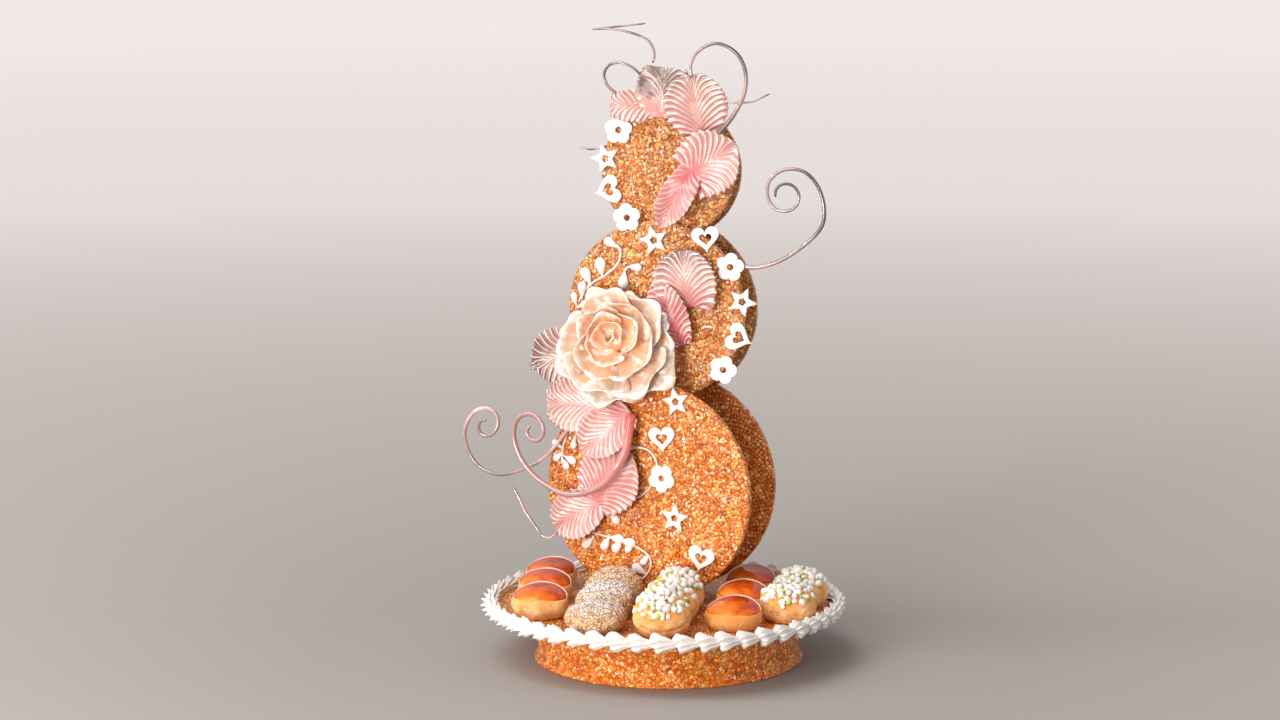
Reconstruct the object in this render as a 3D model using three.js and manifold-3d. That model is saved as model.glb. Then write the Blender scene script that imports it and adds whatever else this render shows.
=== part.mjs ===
// A festive nougatine centrepiece: a drum and a round plate carry choux buns inside a piped icing
// border, and three pairs of upright nougatine discs rise from the plate. Each pair is slotted
// between the two discs of the pair below. Sugar leaves, curls, a sugar rose, piped sprigs and
// white cut-out motifs dress the fronts.
//
// Millimetres, +Z up. The origin is the centre of the drum's underside and -Y is the front,
// the way that the lowest pair of discs faces.
import * as THREE from 'three';
import { mergeVertices } from 'three/addons/utils/BufferGeometryUtils.js';
import Module from 'manifold-3d';

const wasm = await Module();
wasm.setup();

// ---- Driving dimensions ----------------------------------------------------------------------

const GAP = 0.3; // left between pieces that touch
const SHEET = 5; // thickness of every upright nougatine disc

const DRUM = { bottomRadius: 114.2, waistRadius: 110.5, flareHeight: 7, height: 41, segments: 48 };
const PLATE = { x: -3.9, y: -1.8, radius: 144.5, thickness: 3.7, segments: 48 };
const PLATE_TOP = DRUM.height + GAP + PLATE.thickness;

// The icing border: teardrop shells piped nose to tail round the plate's edge.
const BORDER = { shells: 51, radius: 147, middle: 46, inner: 140.6, stepsPerShell: 3 };
const SHELL_SWELL = [0.78, 1.16, 0.96]; // how fat a shell is at its nose, belly and tail

// Each tier is a group that stands at the middle of its front disc's face, turned by yaw.
// Inside a tier +X runs across the face, -Y comes out of it and +Z is up.
const TIERS = {
  low: {
    place: [-23.5, 7.7, 139.6],
    yaw: 0,
    front: { radius: 94.4, x: 0, z: 0, depth: 0 },
    back: { radius: 94.4, x: -2, z: 0, depth: 58.3 },
    foot: PLATE_TOP + GAP,
  },
  mid: {
    place: [-21, 19.9, 292.7],
    yaw: 10,
    front: { radius: 76.8, x: 0, z: 0, depth: 0 },
    back: { radius: 79, x: 0.6, z: -1.6, depth: 33.7 },
  },
  top: {
    place: [-14, 28.1, 410.6],
    yaw: 13,
    front: { radius: 57, x: 0, z: 0, depth: 0 },
    back: { radius: 58, x: 1, z: -0.9, depth: 19.9 },
  },
};
const DISC_SEGMENTS = 24; // straight stretches in half of a disc's rim

const MOTIF = { size: 24, thickness: 3 };
const PIPED = { thickness: 2.6, cord: 1.7 }; // piped drops and the cord that carries them
const LEAF = { thickness: 1.6, rows: 6, columns: 5, bluntness: 0.12, ripple: 1.2, sweep: 0.16 };
const DAB = { radius: 5, footRadius: 3, sides: 6 };
const CURL_SIDES = 4;

// Rose: layers of petals round a receptacle, from the outermost to the bud.
const ROSE = {
  tier: 'mid',
  place: [-30, -8.2, -28],
  lean: 12, // degrees that its axis looks up
  stem: { radius: 7, back: 7, front: 9 },
  layers: [
    { petals: 6, reach: 49, rise: 15, spread: 28, base: 1, turn: 10, flare: 6, columns: 4 },
    { petals: 5, reach: 39, rise: 24, spread: 34, base: 4, turn: 40, flare: 4, columns: 4 },
    { petals: 4, reach: 28, rise: 31, spread: 42, base: 7, turn: 15, flare: 2, columns: 3 },
    { petals: 3, reach: 17, rise: 36, spread: 56, base: 10, turn: 60, flare: 1, columns: 3 },
  ],
  bud: { radius: 8, height: 38 },
  petalThickness: 1.8,
};

// A leaning bun has a flat where it meets the plate, as if it had been pressed down by sink.
const CHOU = { segments: 12, wobble: 0.03, facing: 15, sink: 2 };
const PEARL = { radius: 3, perChou: 7 };

// ---- Colours ---------------------------------------------------------------------------------

const material = (color, roughness) => new THREE.MeshStandardMaterial({ color, roughness, metalness: 0 });
const NOUGATINE = material(0xdd8a3c, 0.45);
const ICING = material(0xf7f4ef, 0.7);
const PASTILLAGE = material(0xfaf9f6, 0.6);
const PINK_SUGAR = material(0xf0b0aa, 0.25);
const PEACH_SUGAR = material(0xf5cfae, 0.25);
const CURL_SUGAR = material(0xb08f8c, 0.15);
const CORAL_SUGAR = material(0xe88d80, 0.15);
const CARAMEL = material(0xc05a1c, 0.15);
const CRAQUELIN = material(0xe9d8c3, 0.9);
const PEARL_SUGAR = material(0xf3efe4, 0.7);

// ---- Small helpers ---------------------------------------------------------------------------

const radians = THREE.MathUtils.degToRad;

// A repeatable random number between 0 and 1.
function randomSource(seed) {
  let state = seed;
  return () => {
    state = (state * 1664525 + 1013904223) % 4294967296;
    return state / 4294967296;
  };
}

// Six times the signed volume: negative where the faces point inwards.
function signedVolume(points, faces) {
  let sum = 0;
  for (const [a, b, c] of faces) {
    sum += points[a].dot(new THREE.Vector3().crossVectors(points[b], points[c]));
  }
  return sum;
}

function geometryFrom(points, faces) {
  const outward = signedVolume(points, faces) >= 0;
  const geometry = new THREE.BufferGeometry().setFromPoints(points);
  geometry.setIndex(faces.flatMap(([a, b, c]) => (outward ? [a, b, c] : [a, c, b])));
  return geometry;
}

// A closed solid through rings with the same number of points, with flat ends.
function loft(rings, closed = false) {
  const count = rings[0].length;
  const points = rings.flat();
  const faces = [];
  const joins = closed ? rings.length : rings.length - 1;
  for (let i = 0; i < joins; i += 1) {
    const here = i * count;
    const next = ((i + 1) % rings.length) * count;
    for (let j = 0; j < count; j += 1) {
      const k = (j + 1) % count;
      faces.push([here + j, here + k, next + k], [here + j, next + k, next + j]);
    }
  }
  if (!closed) {
    const last = (rings.length - 1) * count;
    for (let j = 1; j < count - 1; j += 1) {
      faces.push([0, j + 1, j], [last, last + j, last + j + 1]);
    }
  }
  return geometryFrom(points, faces);
}

// A thin closed sheet from a grid of middle points and normals.
function sheet(rows, columns, thickness, surface) {
  const front = [];
  const back = [];
  for (let i = 0; i < rows; i += 1) {
    for (let j = 0; j < columns; j += 1) {
      const { point, normal } = surface(i / (rows - 1), (2 * j) / (columns - 1) - 1);
      front.push(point.clone().addScaledVector(normal, thickness / 2));
      back.push(point.clone().addScaledVector(normal, -thickness / 2));
    }
  }
  const points = [...front, ...back];
  const size = rows * columns;
  const faces = [];
  for (let i = 0; i < rows - 1; i += 1) {
    for (let j = 0; j < columns - 1; j += 1) {
      const a = i * columns + j;
      const b = a + columns;
      faces.push([a, b, b + 1], [a, b + 1, a + 1]);
      faces.push([size + a, size + b + 1, size + b], [size + a, size + a + 1, size + b + 1]);
    }
  }
  const rim = [];
  for (let j = 0; j < columns; j += 1) rim.push(j);
  for (let i = 1; i < rows; i += 1) rim.push(i * columns + columns - 1);
  for (let j = columns - 2; j >= 0; j -= 1) rim.push((rows - 1) * columns + j);
  for (let i = rows - 2; i > 0; i -= 1) rim.push(i * columns);
  rim.forEach((a, n) => {
    const b = rim[(n + 1) % rim.length];
    faces.push([a, b, size + b], [a, size + b, size + a]);
  });
  return geometryFrom(points, faces);
}

// A tube along a curve whose width goes from one value to another; flat makes it a ribbon.
function tube(curve, steps, fromWidth, toWidth, sides = CURL_SIDES, flat = 1) {
  const frames = curve.computeFrenetFrames(steps, false);
  const rings = [];
  for (let i = 0; i <= steps; i += 1) {
    const radius = THREE.MathUtils.lerp(fromWidth, toWidth, i / steps) / 2;
    const middle = curve.getPointAt(i / steps);
    const ring = [];
    for (let j = 0; j < sides; j += 1) {
      const angle = ((j + 0.5) / sides) * Math.PI * 2;
      ring.push(
        middle
          .clone()
          .addScaledVector(frames.normals[i], Math.cos(angle) * radius * flat)
          .addScaledVector(frames.binormals[i], Math.sin(angle) * radius),
      );
    }
    rings.push(ring);
  }
  return loft(rings);
}

function toManifold(geometry) {
  const bare = geometry.clone();
  bare.deleteAttribute('normal');
  bare.deleteAttribute('uv');
  const merged = mergeVertices(bare, 1e-4);
  return new wasm.Manifold(
    new wasm.Mesh({
      numProp: 3,
      vertProperties: new Float32Array(merged.attributes.position.array),
      triVerts: new Uint32Array(merged.index.array),
    }),
  );
}

function geometryOf(manifold) {
  const mesh = manifold.getMesh();
  const result = new THREE.BufferGeometry();
  result.setAttribute('position', new THREE.BufferAttribute(new Float32Array(mesh.vertProperties), 3));
  result.setIndex(new THREE.BufferAttribute(new Uint32Array(mesh.triVerts), 1));
  return result;
}

// Joins overlapping solids into one body, and fills any hollow that the join seals.
function fuse(geometries) {
  let joined = toManifold(geometries[0]);
  for (const geometry of geometries.slice(1)) joined = joined.add(toManifold(geometry));
  const bodies = joined.decompose().filter((body) => body.volume() > 1);
  return geometryOf(bodies.sort((a, b) => b.volume() - a.volume())[0]);
}

// ---- The scene graph -------------------------------------------------------------------------

const part = new THREE.Group();
const tierGroups = {};
for (const [name, tier] of Object.entries(TIERS)) {
  const group = new THREE.Group();
  group.position.set(...tier.place);
  group.rotation.z = radians(tier.yaw);
  part.add(group);
  tierGroups[name] = group;
}

function addPiece(parent, name, geometry, finish) {
  const mesh = new THREE.Mesh(geometry, finish);
  mesh.name = name;
  parent.add(mesh);
  return mesh;
}

// ---- Drum and plate --------------------------------------------------------------------------

function turned(profile, segments) {
  const points = profile.map(([r, z]) => new THREE.Vector2(r, z));
  return new THREE.LatheGeometry(points, segments).rotateX(Math.PI / 2);
}

addPiece(
  part,
  'nougatine_drum',
  turned(
    [
      [0, 0],
      [DRUM.bottomRadius, 0],
      [DRUM.waistRadius, DRUM.flareHeight],
      [DRUM.waistRadius, DRUM.height],
      [0, DRUM.height],
    ],
    DRUM.segments,
  ),
  NOUGATINE,
);

const plate = addPiece(
  part,
  'nougatine_plate',
  turned(
    [
      [0, 0],
      [PLATE.radius, 0],
      [PLATE.radius, PLATE.thickness],
      [0, PLATE.thickness],
    ],
    PLATE.segments,
  ),
  NOUGATINE,
);
plate.position.set(PLATE.x, PLATE.y, DRUM.height + GAP);

// ---- Piped border ----------------------------------------------------------------------------

// The section hooks over the plate's edge: three points sit on the plate and the rest follow
// the swelling shell.
function borderSection(angle, swell) {
  const onPlate = PLATE_TOP + GAP;
  const edge = (PLATE.radius + GAP) / Math.cos(Math.PI / PLATE.segments);
  const swollen = [
    [6.2, -4],
    [5, 5],
    [-3.6, 6],
  ].map(([r, z]) => [BORDER.radius + r * swell, BORDER.middle + z * swell]);
  const section = [[edge, BORDER.middle - 5], ...swollen, [BORDER.inner, onPlate], [edge, onPlate]];
  return section.map(([r, z]) => new THREE.Vector3(r * Math.cos(angle), r * Math.sin(angle), z));
}

const borderRings = [];
const borderSteps = BORDER.shells * BORDER.stepsPerShell;
for (let i = 0; i < borderSteps; i += 1) {
  const swell = SHELL_SWELL[i % BORDER.stepsPerShell];
  borderRings.push(borderSection((-i / borderSteps) * Math.PI * 2, swell));
}
addPiece(part, 'piped_border', loft(borderRings, true), ICING).position.set(PLATE.x, PLATE.y, 0);

// ---- Upright discs ---------------------------------------------------------------------------

// A disc that faces -Y, cut flat where it stands on the plate.
function disc(radius, foot) {
  const outline = new THREE.Shape();
  const half = foot === undefined ? 0 : Math.acos(-foot / radius);
  outline.absarc(0, 0, radius, -Math.PI / 2 + half, -Math.PI / 2 - half + Math.PI * 2, false);
  const options = { depth: SHEET, bevelEnabled: false, curveSegments: DISC_SEGMENTS };
  return new THREE.ExtrudeGeometry(outline, options).rotateX(Math.PI / 2);
}

for (const [name, tier] of Object.entries(TIERS)) {
  for (const side of ['front', 'back']) {
    const { radius, x, z, depth } = tier[side];
    const foot = tier.foot === undefined ? undefined : tier.foot - tier.place[2] - z;
    const mesh = addPiece(tierGroups[name], `disc_${name}_${side}`, disc(radius, foot), NOUGATINE);
    mesh.position.set(x, depth + SHEET, z);
  }
}

// ---- White cut-out motifs --------------------------------------------------------------------

function polarShape(points, radiusAt) {
  const shape = new THREE.Shape();
  for (let i = 0; i < points; i += 1) {
    const angle = (i / points) * Math.PI * 2 + Math.PI / 2;
    const radius = radiusAt(i, angle);
    shape[i ? 'lineTo' : 'moveTo'](radius * Math.cos(angle), radius * Math.sin(angle));
  }
  return shape;
}

// Half the motif's size is the reach of each outline.
function blossom() {
  const reach = MOTIF.size / 2;
  const shape = polarShape(15, (i) => (i % 3 === 0 ? reach * 0.62 : reach));
  shape.holes.push(polarShape(6, () => reach * 0.26));
  return shape;
}

function star() {
  const reach = MOTIF.size / 2;
  const shape = polarShape(10, (i) => (i % 2 ? reach * 0.5 : reach * 1.08));
  shape.holes.push(polarShape(5, () => reach * 0.3));
  return shape;
}

function heartOutline(scale, points) {
  const outline = [];
  for (let i = 0; i < points; i += 1) {
    const t = ((i + 0.5) / points) * Math.PI * 2;
    const x = 16 * Math.sin(t) ** 3;
    const y = 13 * Math.cos(t) - 5 * Math.cos(2 * t) - 2 * Math.cos(3 * t) - Math.cos(4 * t);
    outline.push(new THREE.Vector2((-x / 16) * scale, ((y + 2.5) / 16) * scale));
  }
  return outline;
}

function heart() {
  const reach = MOTIF.size / 2;
  const shape = new THREE.Shape(heartOutline(reach, 16));
  shape.holes.push(new THREE.Path(heartOutline(reach * 0.46, 8)));
  return shape;
}

const MOTIF_SHAPES = { heart, blossom, star };

// The motifs run down the left of the top disc, round the right of the middle disc and in a
// shallow bow down the lower disc.
const motifPlaces = [];
for (let i = 0; i < 4; i += 1) {
  const angle = radians(112 + 28.5 * i);
  const [x, z] = [54.5 * Math.cos(angle), 54.5 * Math.sin(angle)];
  motifPlaces.push({ tier: 'top', x, z, lean: 20 + 18 * i });
}
motifPlaces.push({ tier: 'mid', x: -25, z: 79, lean: 30 }, { tier: 'mid', x: -1.5, z: 60.5, lean: -15 });
for (let i = 0; i < 5; i += 1) {
  const angle = radians(55 - 23.5 * i);
  const [x, z] = [76 * Math.cos(angle), 76 * Math.sin(angle)];
  motifPlaces.push({ tier: 'mid', x, z, lean: -8 - 20 * i });
}
for (let i = 0; i < 5; i += 1) {
  const z = 79 - 33.5 * i;
  motifPlaces.push({ tier: 'low', x: 13 + 0.0055 * (z - 28) ** 2, z, lean: -12 + 6 * i });
}

motifPlaces.forEach(({ tier, x, z, lean }, i) => {
  const kind = Object.keys(MOTIF_SHAPES)[i % 3];
  const options = { depth: MOTIF.thickness, bevelEnabled: false };
  const geometry = new THREE.ExtrudeGeometry(MOTIF_SHAPES[kind](), options).rotateX(Math.PI / 2);
  const number = String(i + 1).padStart(2, '0');
  const mesh = addPiece(tierGroups[tier], `motif_${kind}_${number}`, geometry, PASTILLAGE);
  mesh.position.set(x, -GAP, z);
  mesh.rotation.y = radians(lean);
});

// ---- Piped sprigs ----------------------------------------------------------------------------

// A flat piped teardrop: its tail starts at a point of the cord and its round end lies at angle.
function drop(x, z, length, angle) {
  const outline = [
    [-0.06, 0],
    [0.45, -0.2],
    [0.85, -0.25],
    [1, 0],
    [0.85, 0.25],
    [0.45, 0.2],
  ].map(([a, b]) => new THREE.Vector2(a * length, b * length));
  const options = { depth: PIPED.thickness, bevelEnabled: false };
  const geometry = new THREE.ExtrudeGeometry(new THREE.Shape(outline), options).rotateX(Math.PI / 2);
  return geometry.rotateY(-radians(angle)).translate(x, -GAP, z);
}

function cord(points) {
  const depth = -GAP - PIPED.cord / 2;
  const curve = new THREE.CatmullRomCurve3(points.map(([x, z]) => new THREE.Vector3(x, depth, z)));
  return tube(curve, points.length * 2, PIPED.cord * 1.3, PIPED.cord * 0.9);
}

const SPRIGS = [
  {
    name: 'sprig_mid_left',
    tier: 'mid',
    cord: [[-35, 56], [-31, 51], [-33, 40], [-44, 29.5], [-56, 22], [-65, 12], [-68, 5]],
    drops: [
      [-33, 53, 12, 155],
      [-47, 27.5, 16, 100],
      [-58, 20.5, 15, 108],
      [-66, 10, 14, 98],
      [-67.5, 5, 10, 165],
      [-67.5, 6, 15, -12],
    ],
  },
  {
    name: 'sprig_mid_rose',
    tier: 'mid',
    cord: [[-28, 31], [-26, 36.5], [-20, 39.5], [-15, 39]],
    drops: [[-20, 39.5, 11, -8]],
  },
  {
    name: 'sprig_low_left',
    tier: 'low',
    cord: [[-73, 50], [-77, 38], [-80, 26], [-84, 14]],
    drops: [[-78, 34, 14, 48], [-83.5, 16, 13, 70], [-81, 21, 13, 0]],
  },
  {
    name: 'sprig_low_loop',
    tier: 'low',
    cord: [[-9, 45], [-3, 38], [-1, 26], [-2, 12], [-7, 0], [-14, -7]],
    drops: [[-13, -6, 10, 215]],
  },
  {
    name: 'sprig_low_foot',
    tier: 'low',
    cord: [[-62, -44], [-48, -41], [-30, -42], [-8, -48], [3, -56], [2, -66], [-5, -75]],
    drops: [
      [-61, -43.5, 12, 245],
      [-44, -41, 15, 250],
      [-31, -42, 15, 250],
      [-18, -45, 14, 245],
      [3, -58, 11, 190],
      [2, -66, 13, 170],
    ],
  },
];
for (const sprig of SPRIGS) {
  const pieces = [cord(sprig.cord), ...sprig.drops.map((place) => drop(...place))];
  addPiece(tierGroups[sprig.tier], sprig.name, fuse(pieces), ICING);
}

// ---- Pulled-sugar leaves ---------------------------------------------------------------------

// A leaf from base to tip, seen from the front: bow lifts its middle, cup lifts its two edges.
function leaf({ base, tip, width, bow = 4, cup = 3 }) {
  const start = new THREE.Vector3(...base);
  const along = new THREE.Vector3(...tip).sub(start);
  const out = new THREE.Vector3(0, -1, 0);
  const across = new THREE.Vector3().crossVectors(along, out).normalize();
  const normal = new THREE.Vector3().crossVectors(across, along).normalize();
  return sheet(LEAF.rows, LEAF.columns, LEAF.thickness, (u, v) => {
    const arch = Math.sin(Math.PI * u);
    const fullness = Math.sin(Math.PI * Math.min(0.985, 0.06 + 0.94 * u) ** 0.8) ** 0.7;
    const half = (width / 2) * Math.max(LEAF.bluntness, fullness);
    const lift = bow * arch + cup * v * v * arch ** 0.5;
    const ripple = LEAF.ripple * Math.sin(9 * u + 2 * v) * Math.abs(v) * arch;
    const point = start
      .clone()
      .addScaledVector(along, u + LEAF.sweep * v * v * arch)
      .addScaledVector(across, v * half)
      .addScaledVector(normal, lift + ripple);
    return { point, normal };
  });
}

// The dab of hot sugar that holds the foot of a cluster to the face.
function dab([x, z], reach) {
  const height = reach - GAP;
  const geometry = new THREE.CylinderGeometry(DAB.radius, DAB.footRadius, height, DAB.sides);
  return geometry.translate(x, -GAP - height / 2, z);
}

const LEAF_CLUSTERS = [
  {
    name: 'leaves_top_left',
    tier: 'top',
    dab: [[3, 51], 5],
    leaves: [
      { base: [-3, -5.4, 53], tip: [-48, -7, 61], width: 29, bow: 2, cup: 1 },
      { base: [1, -4.2, 50], tip: [-12, -5, 91], width: 46, bow: 1.5, cup: 1 },
    ],
  },
  {
    name: 'leaf_top_middle',
    tier: 'top',
    dab: [[30, 36], 4.4],
    leaves: [{ base: [31, -3.8, 33], tip: [21, -14, 81], width: 54, bow: 2, cup: 1 }],
  },
  {
    name: 'leaves_top_right',
    tier: 'top',
    dab: [[22, 3], 9],
    leaves: [
      { base: [19, -7.5, 1], tip: [62, -11, 27], width: 52, bow: 5 },
      { base: [24, -7.5, 6], tip: [-3, -13.5, -46], width: 29, bow: 5 },
    ],
  },
  {
    name: 'leaves_mid_right',
    tier: 'mid',
    dab: [[29, -4], 5],
    leaves: [
      { base: [30, -3.8, -5], tip: [25.5, -6, 52], width: 52, bow: 4 },
      { base: [27, -4, -27], tip: [6, -8, 27], width: 24, bow: 2 },
    ],
  },
  {
    name: 'leaf_mid_left',
    tier: 'mid',
    dab: [[-62, -32], 5],
    leaves: [{ base: [-61, -4, -32], tip: [-107, -6, -48], width: 46, bow: 2 }],
  },
  {
    name: 'leaves_low_upper',
    tier: 'low',
    dab: [[-25, 80], 6],
    leaves: [
      { base: [-26, -5, 81], tip: [-87, -8, 64], width: 42, bow: 3 },
      { base: [-22, -5, 82], tip: [-51, -12, 33], width: 40, bow: 3 },
    ],
  },
  {
    name: 'leaves_low_middle',
    tier: 'low',
    dab: [[-47, -13], 5.4],
    leaves: [
      { base: [-50, -4.4, -16], tip: [-14, -5.5, 34], width: 50, bow: 3 },
      { base: [-42, -4.4, -10], tip: [-82, -6, -41], width: 34, bow: 3 },
    ],
  },
];
for (const cluster of LEAF_CLUSTERS) {
  const geometry = fuse([dab(...cluster.dab), ...cluster.leaves.map(leaf)]);
  addPiece(tierGroups[cluster.tier], cluster.name, geometry, PINK_SUGAR);
}

// ---- Sugar rose ------------------------------------------------------------------------------

// One cupped petal in the rose's own frame, whose axis is +Z. It rises from the receptacle,
// and its rim falls away at the sides and rolls outwards by flare.
function petal(layer, angle) {
  return sheet(4, layer.columns, ROSE.petalThickness, (u, v) => {
    const climb = (1 - (1 - u) ** 1.6) * (1 - 0.2 * v * v * u);
    const height = layer.base + (layer.rise - layer.base) * climb;
    const belly = Math.sin((Math.PI / 2) * u) * layer.reach;
    const roll = u > 0.9 ? layer.flare * 0.4 : 0;
    const radius = 4 + belly - 4 * u + roll - 0.12 * layer.reach * v * v * u;
    const turn = angle + radians(layer.spread) * v * (0.75 + 0.25 * Math.sin(Math.PI * u));
    const point = new THREE.Vector3(radius * Math.cos(turn), radius * Math.sin(turn), height);
    const slope = layer.rise / (layer.rise + layer.reach);
    const inward = new THREE.Vector3(-Math.cos(turn), -Math.sin(turn), 0);
    const normal = inward.multiplyScalar(slope).add(new THREE.Vector3(0, 0, 1 - slope)).normalize();
    return { point, normal };
  });
}

function roseGeometry() {
  const { stem, bud, layers } = ROSE;
  const profile = [
    [0, -stem.back],
    [stem.radius * 0.6, -stem.back],
    [stem.radius, 0],
    [stem.radius, stem.front],
    [bud.radius, bud.height * 0.6],
    [bud.radius * 0.7, bud.height * 0.92],
    [0, bud.height],
  ];
  const solids = [turned(profile, 8)];
  for (const layer of layers) {
    for (let i = 0; i < layer.petals; i += 1) {
      solids.push(petal(layer, radians(layer.turn + (360 / layer.petals) * i)));
    }
  }
  return fuse(solids);
}

const rose = addPiece(tierGroups[ROSE.tier], 'sugar_rose', roseGeometry(), PEACH_SUGAR);
rose.position.set(...ROSE.place);
rose.rotation.x = radians(90 - ROSE.lean);

// ---- Pulled-sugar curls ----------------------------------------------------------------------

// The points of a spiral in the plane of a face: radii are given every quarter turn from the
// starting angle, anticlockwise for a positive step.
function spiral({ centre, from, radii, step = 90, depth }) {
  const points = [];
  const last = radii.length - 1;
  for (let i = 0; i <= last * 2; i += 1) {
    const at = Math.min(Math.floor(i / 2), last - 1);
    const radius = THREE.MathUtils.lerp(radii[at], radii[at + 1], i / 2 - at);
    const angle = radians(from + (step * i) / 2);
    const y = THREE.MathUtils.lerp(depth[0], depth[1], i / (last * 2));
    points.push([centre[0] + radius * Math.cos(angle), y, centre[1] + radius * Math.sin(angle)]);
  }
  return points;
}

const curve = (points) => new THREE.CatmullRomCurve3(points.map((point) => new THREE.Vector3(...point)));

const CURLS = [
  {
    name: 'curl_top_crown',
    tier: 'top',
    finish: CURL_SUGAR,
    strands: [
      {
        path: [
          [-12.15, -5, 91.4],
          [-10.3, -6.5, 100],
          [-14, -8, 109],
          [-22, -8, 114],
          [-35, -8, 118],
          [-48, -8, 119.7],
          [-63, -8, 119.5],
        ],
        steps: 14,
        width: [2, 1.6],
      },
      { path: [[-63, -8, 119.6], [-43.6, -7, 121.6], [-18, -6, 124.5]], steps: 6, width: [1.6, 1.2] },
    ],
  },
  {
    name: 'curl_top_left',
    tier: 'top',
    finish: CURL_SUGAR,
    strands: [
      {
        path: [
          [-49.2, -7.1, 61.3],
          ...spiral({
            centre: [-39, 78.5],
            from: 210,
            step: -90,
            radii: [14, 14.5, 15, 17],
            depth: [-9.5, -12],
          }),
        ],
        steps: 16,
        width: [2.4, 1.8],
      },
    ],
  },
  {
    name: 'curl_top_right',
    tier: 'top',
    finish: CURL_SUGAR,
    strands: [
      {
        path: [
          [20.9, -14.1, 81.4],
          ...spiral({
            centre: [44, 85],
            from: 170,
            step: -90,
            radii: [25, 25, 24.5, 27],
            depth: [-15, -19],
          }),
          [57, -18.5, 51],
          [50, -18, 41],
        ],
        steps: 24,
        width: [2.2, 3.4],
      },
      {
        path: [[50, -18.5, 60], [62, -18.6, 59.5], [75, -17, 61], [89, -15, 68]],
        steps: 7,
        width: [1.8, 1.2],
      },
    ],
  },
  {
    name: 'curl_top_tendril',
    tier: 'top',
    finish: CURL_SUGAR,
    strands: [
      {
        path: [[-77, 2, 19.5], [-68, 2, 17.5], [-61, 2.5, 18.5], [-53.6, 2.5, 20.4]],
        steps: 6,
        width: [1.2, 1.6],
      },
    ],
  },
  {
    name: 'curl_mid_right',
    tier: 'mid',
    finish: CURL_SUGAR,
    strands: [
      {
        path: [
          [64.5, 2.5, 44.5],
          [78, 1, 40],
          [95.5, -1, 42],
          ...spiral({
            centre: [113, 102],
            from: -82,
            radii: [48.5, 29, 21, 15, 13, 12, 10, 7.5],
            depth: [-3, -13],
          }),
        ],
        steps: 34,
        width: [3.4, 2.2],
      },
    ],
  },
  {
    name: 'curl_low_left',
    tier: 'low',
    finish: CURL_SUGAR,
    strands: [
      {
        path: [
          [-58, -1.45, 56],
          [-67, -4.8, 46],
          [-83, -8, 31.5],
          [-95.5, -10, 20],
          ...spiral({
            centre: [-144, 48.5],
            from: -72,
            step: -90,
            radii: [44, 25, 18.5, 12, 8, 8.5, 7, 5],
            depth: [-12, -24],
          }),
        ],
        steps: 34,
        width: [3, 2.4],
      },
    ],
  },
  {
    name: 'curl_low_ribbon',
    tier: 'low',
    finish: CORAL_SUGAR,
    strands: [
      {
        path: [
          [-4, -2.8, 67],
          [-8.5, -10, 58],
          [-10, -17, 46],
          [-15, -19, 33],
          [-23.5, -19, 18.5],
          [-34, -19, 7],
          [-46, -19, -2],
          ...spiral({
            centre: [-98, 48],
            from: -66,
            step: -90,
            radii: [58, 33, 19, 11, 7.5, 8, 6.5, 5],
            depth: [-19, -23],
          }),
        ],
        steps: 40,
        width: [6.6, 2.8],
      },
    ],
  },
  {
    name: 'curl_low_tip',
    tier: 'low',
    finish: CURL_SUGAR,
    strands: [
      {
        path: [
          [-82.35, -6, -41.35],
          [-87, -6.6, -46],
          [-93, -8, -49],
          [-98, -8, -46],
          [-104.5, -8, -37.5],
          [-113, -8, -25],
          [-125.5, -8, -4],
        ],
        steps: 14,
        width: [2.4, 1.6],
      },
    ],
  },
];
for (const { name, tier, finish, strands } of CURLS) {
  const tubes = strands.map(({ path, steps, width }) => tube(curve(path), steps, ...width));
  addPiece(tierGroups[tier], name, tubes.length > 1 ? fuse(tubes) : tubes[0], finish);
}

// ---- Choux buns ------------------------------------------------------------------------------

// Profiles as fractions of the radius and of the height.
const CHOU_PROFILES = {
  caramel: [[0, 0], [0.8, 0], [0.98, 0.24], [1, 0.5], [0.86, 0.8], [0.5, 0.96], [0, 1]],
  craquelin: [[0, 0], [0.8, 0], [0.98, 0.24], [0.92, 0.58], [0.72, 0.82], [0.38, 0.96], [0, 1]],
  pearl: [[0, 0], [0.8, 0], [0.98, 0.24], [0.97, 0.5], [0.78, 0.76], [0.4, 0.9], [0, 0.93]],
};

function chouBody(kind, radius, height, random) {
  const profile = CHOU_PROFILES[kind].map(([r, z]) => [r * radius, z * height]);
  const geometry = turned(profile, CHOU.segments);
  const phase = random() * Math.PI * 2;
  const oval = CHOU.wobble * (0.6 + random() * 0.6);
  const position = geometry.attributes.position;
  for (let i = 0; i < position.count; i += 1) {
    const angle = Math.atan2(position.getY(i), position.getX(i));
    const swell = 1 + oval * Math.cos(2 * angle + phase) + (oval / 2) * Math.cos(3 * angle - phase);
    position.setX(i, position.getX(i) * swell);
    position.setY(i, position.getY(i) * swell);
  }
  return geometry;
}

// Pearl-sugar nibs spread by the golden angle over the dome.
function pearls(radius, height, random) {
  const nibs = [];
  for (let i = 0; i < PEARL.perChou; i += 1) {
    const share = Math.sqrt((i + 0.3) / PEARL.perChou);
    const angle = i * Math.PI * (3 - Math.sqrt(5)) + random() * 0.4;
    const reach = share * radius * 0.84;
    const top = height * (0.93 - 0.4 * share ** 2.4);
    const nib = new THREE.IcosahedronGeometry(PEARL.radius * (0.85 + 0.3 * random()), 0);
    nib.rotateX(random() * 3).rotateY(random() * 3);
    nibs.push(nib.translate(reach * Math.cos(angle), reach * Math.sin(angle), top + 0.4));
  }
  return nibs;
}

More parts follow.
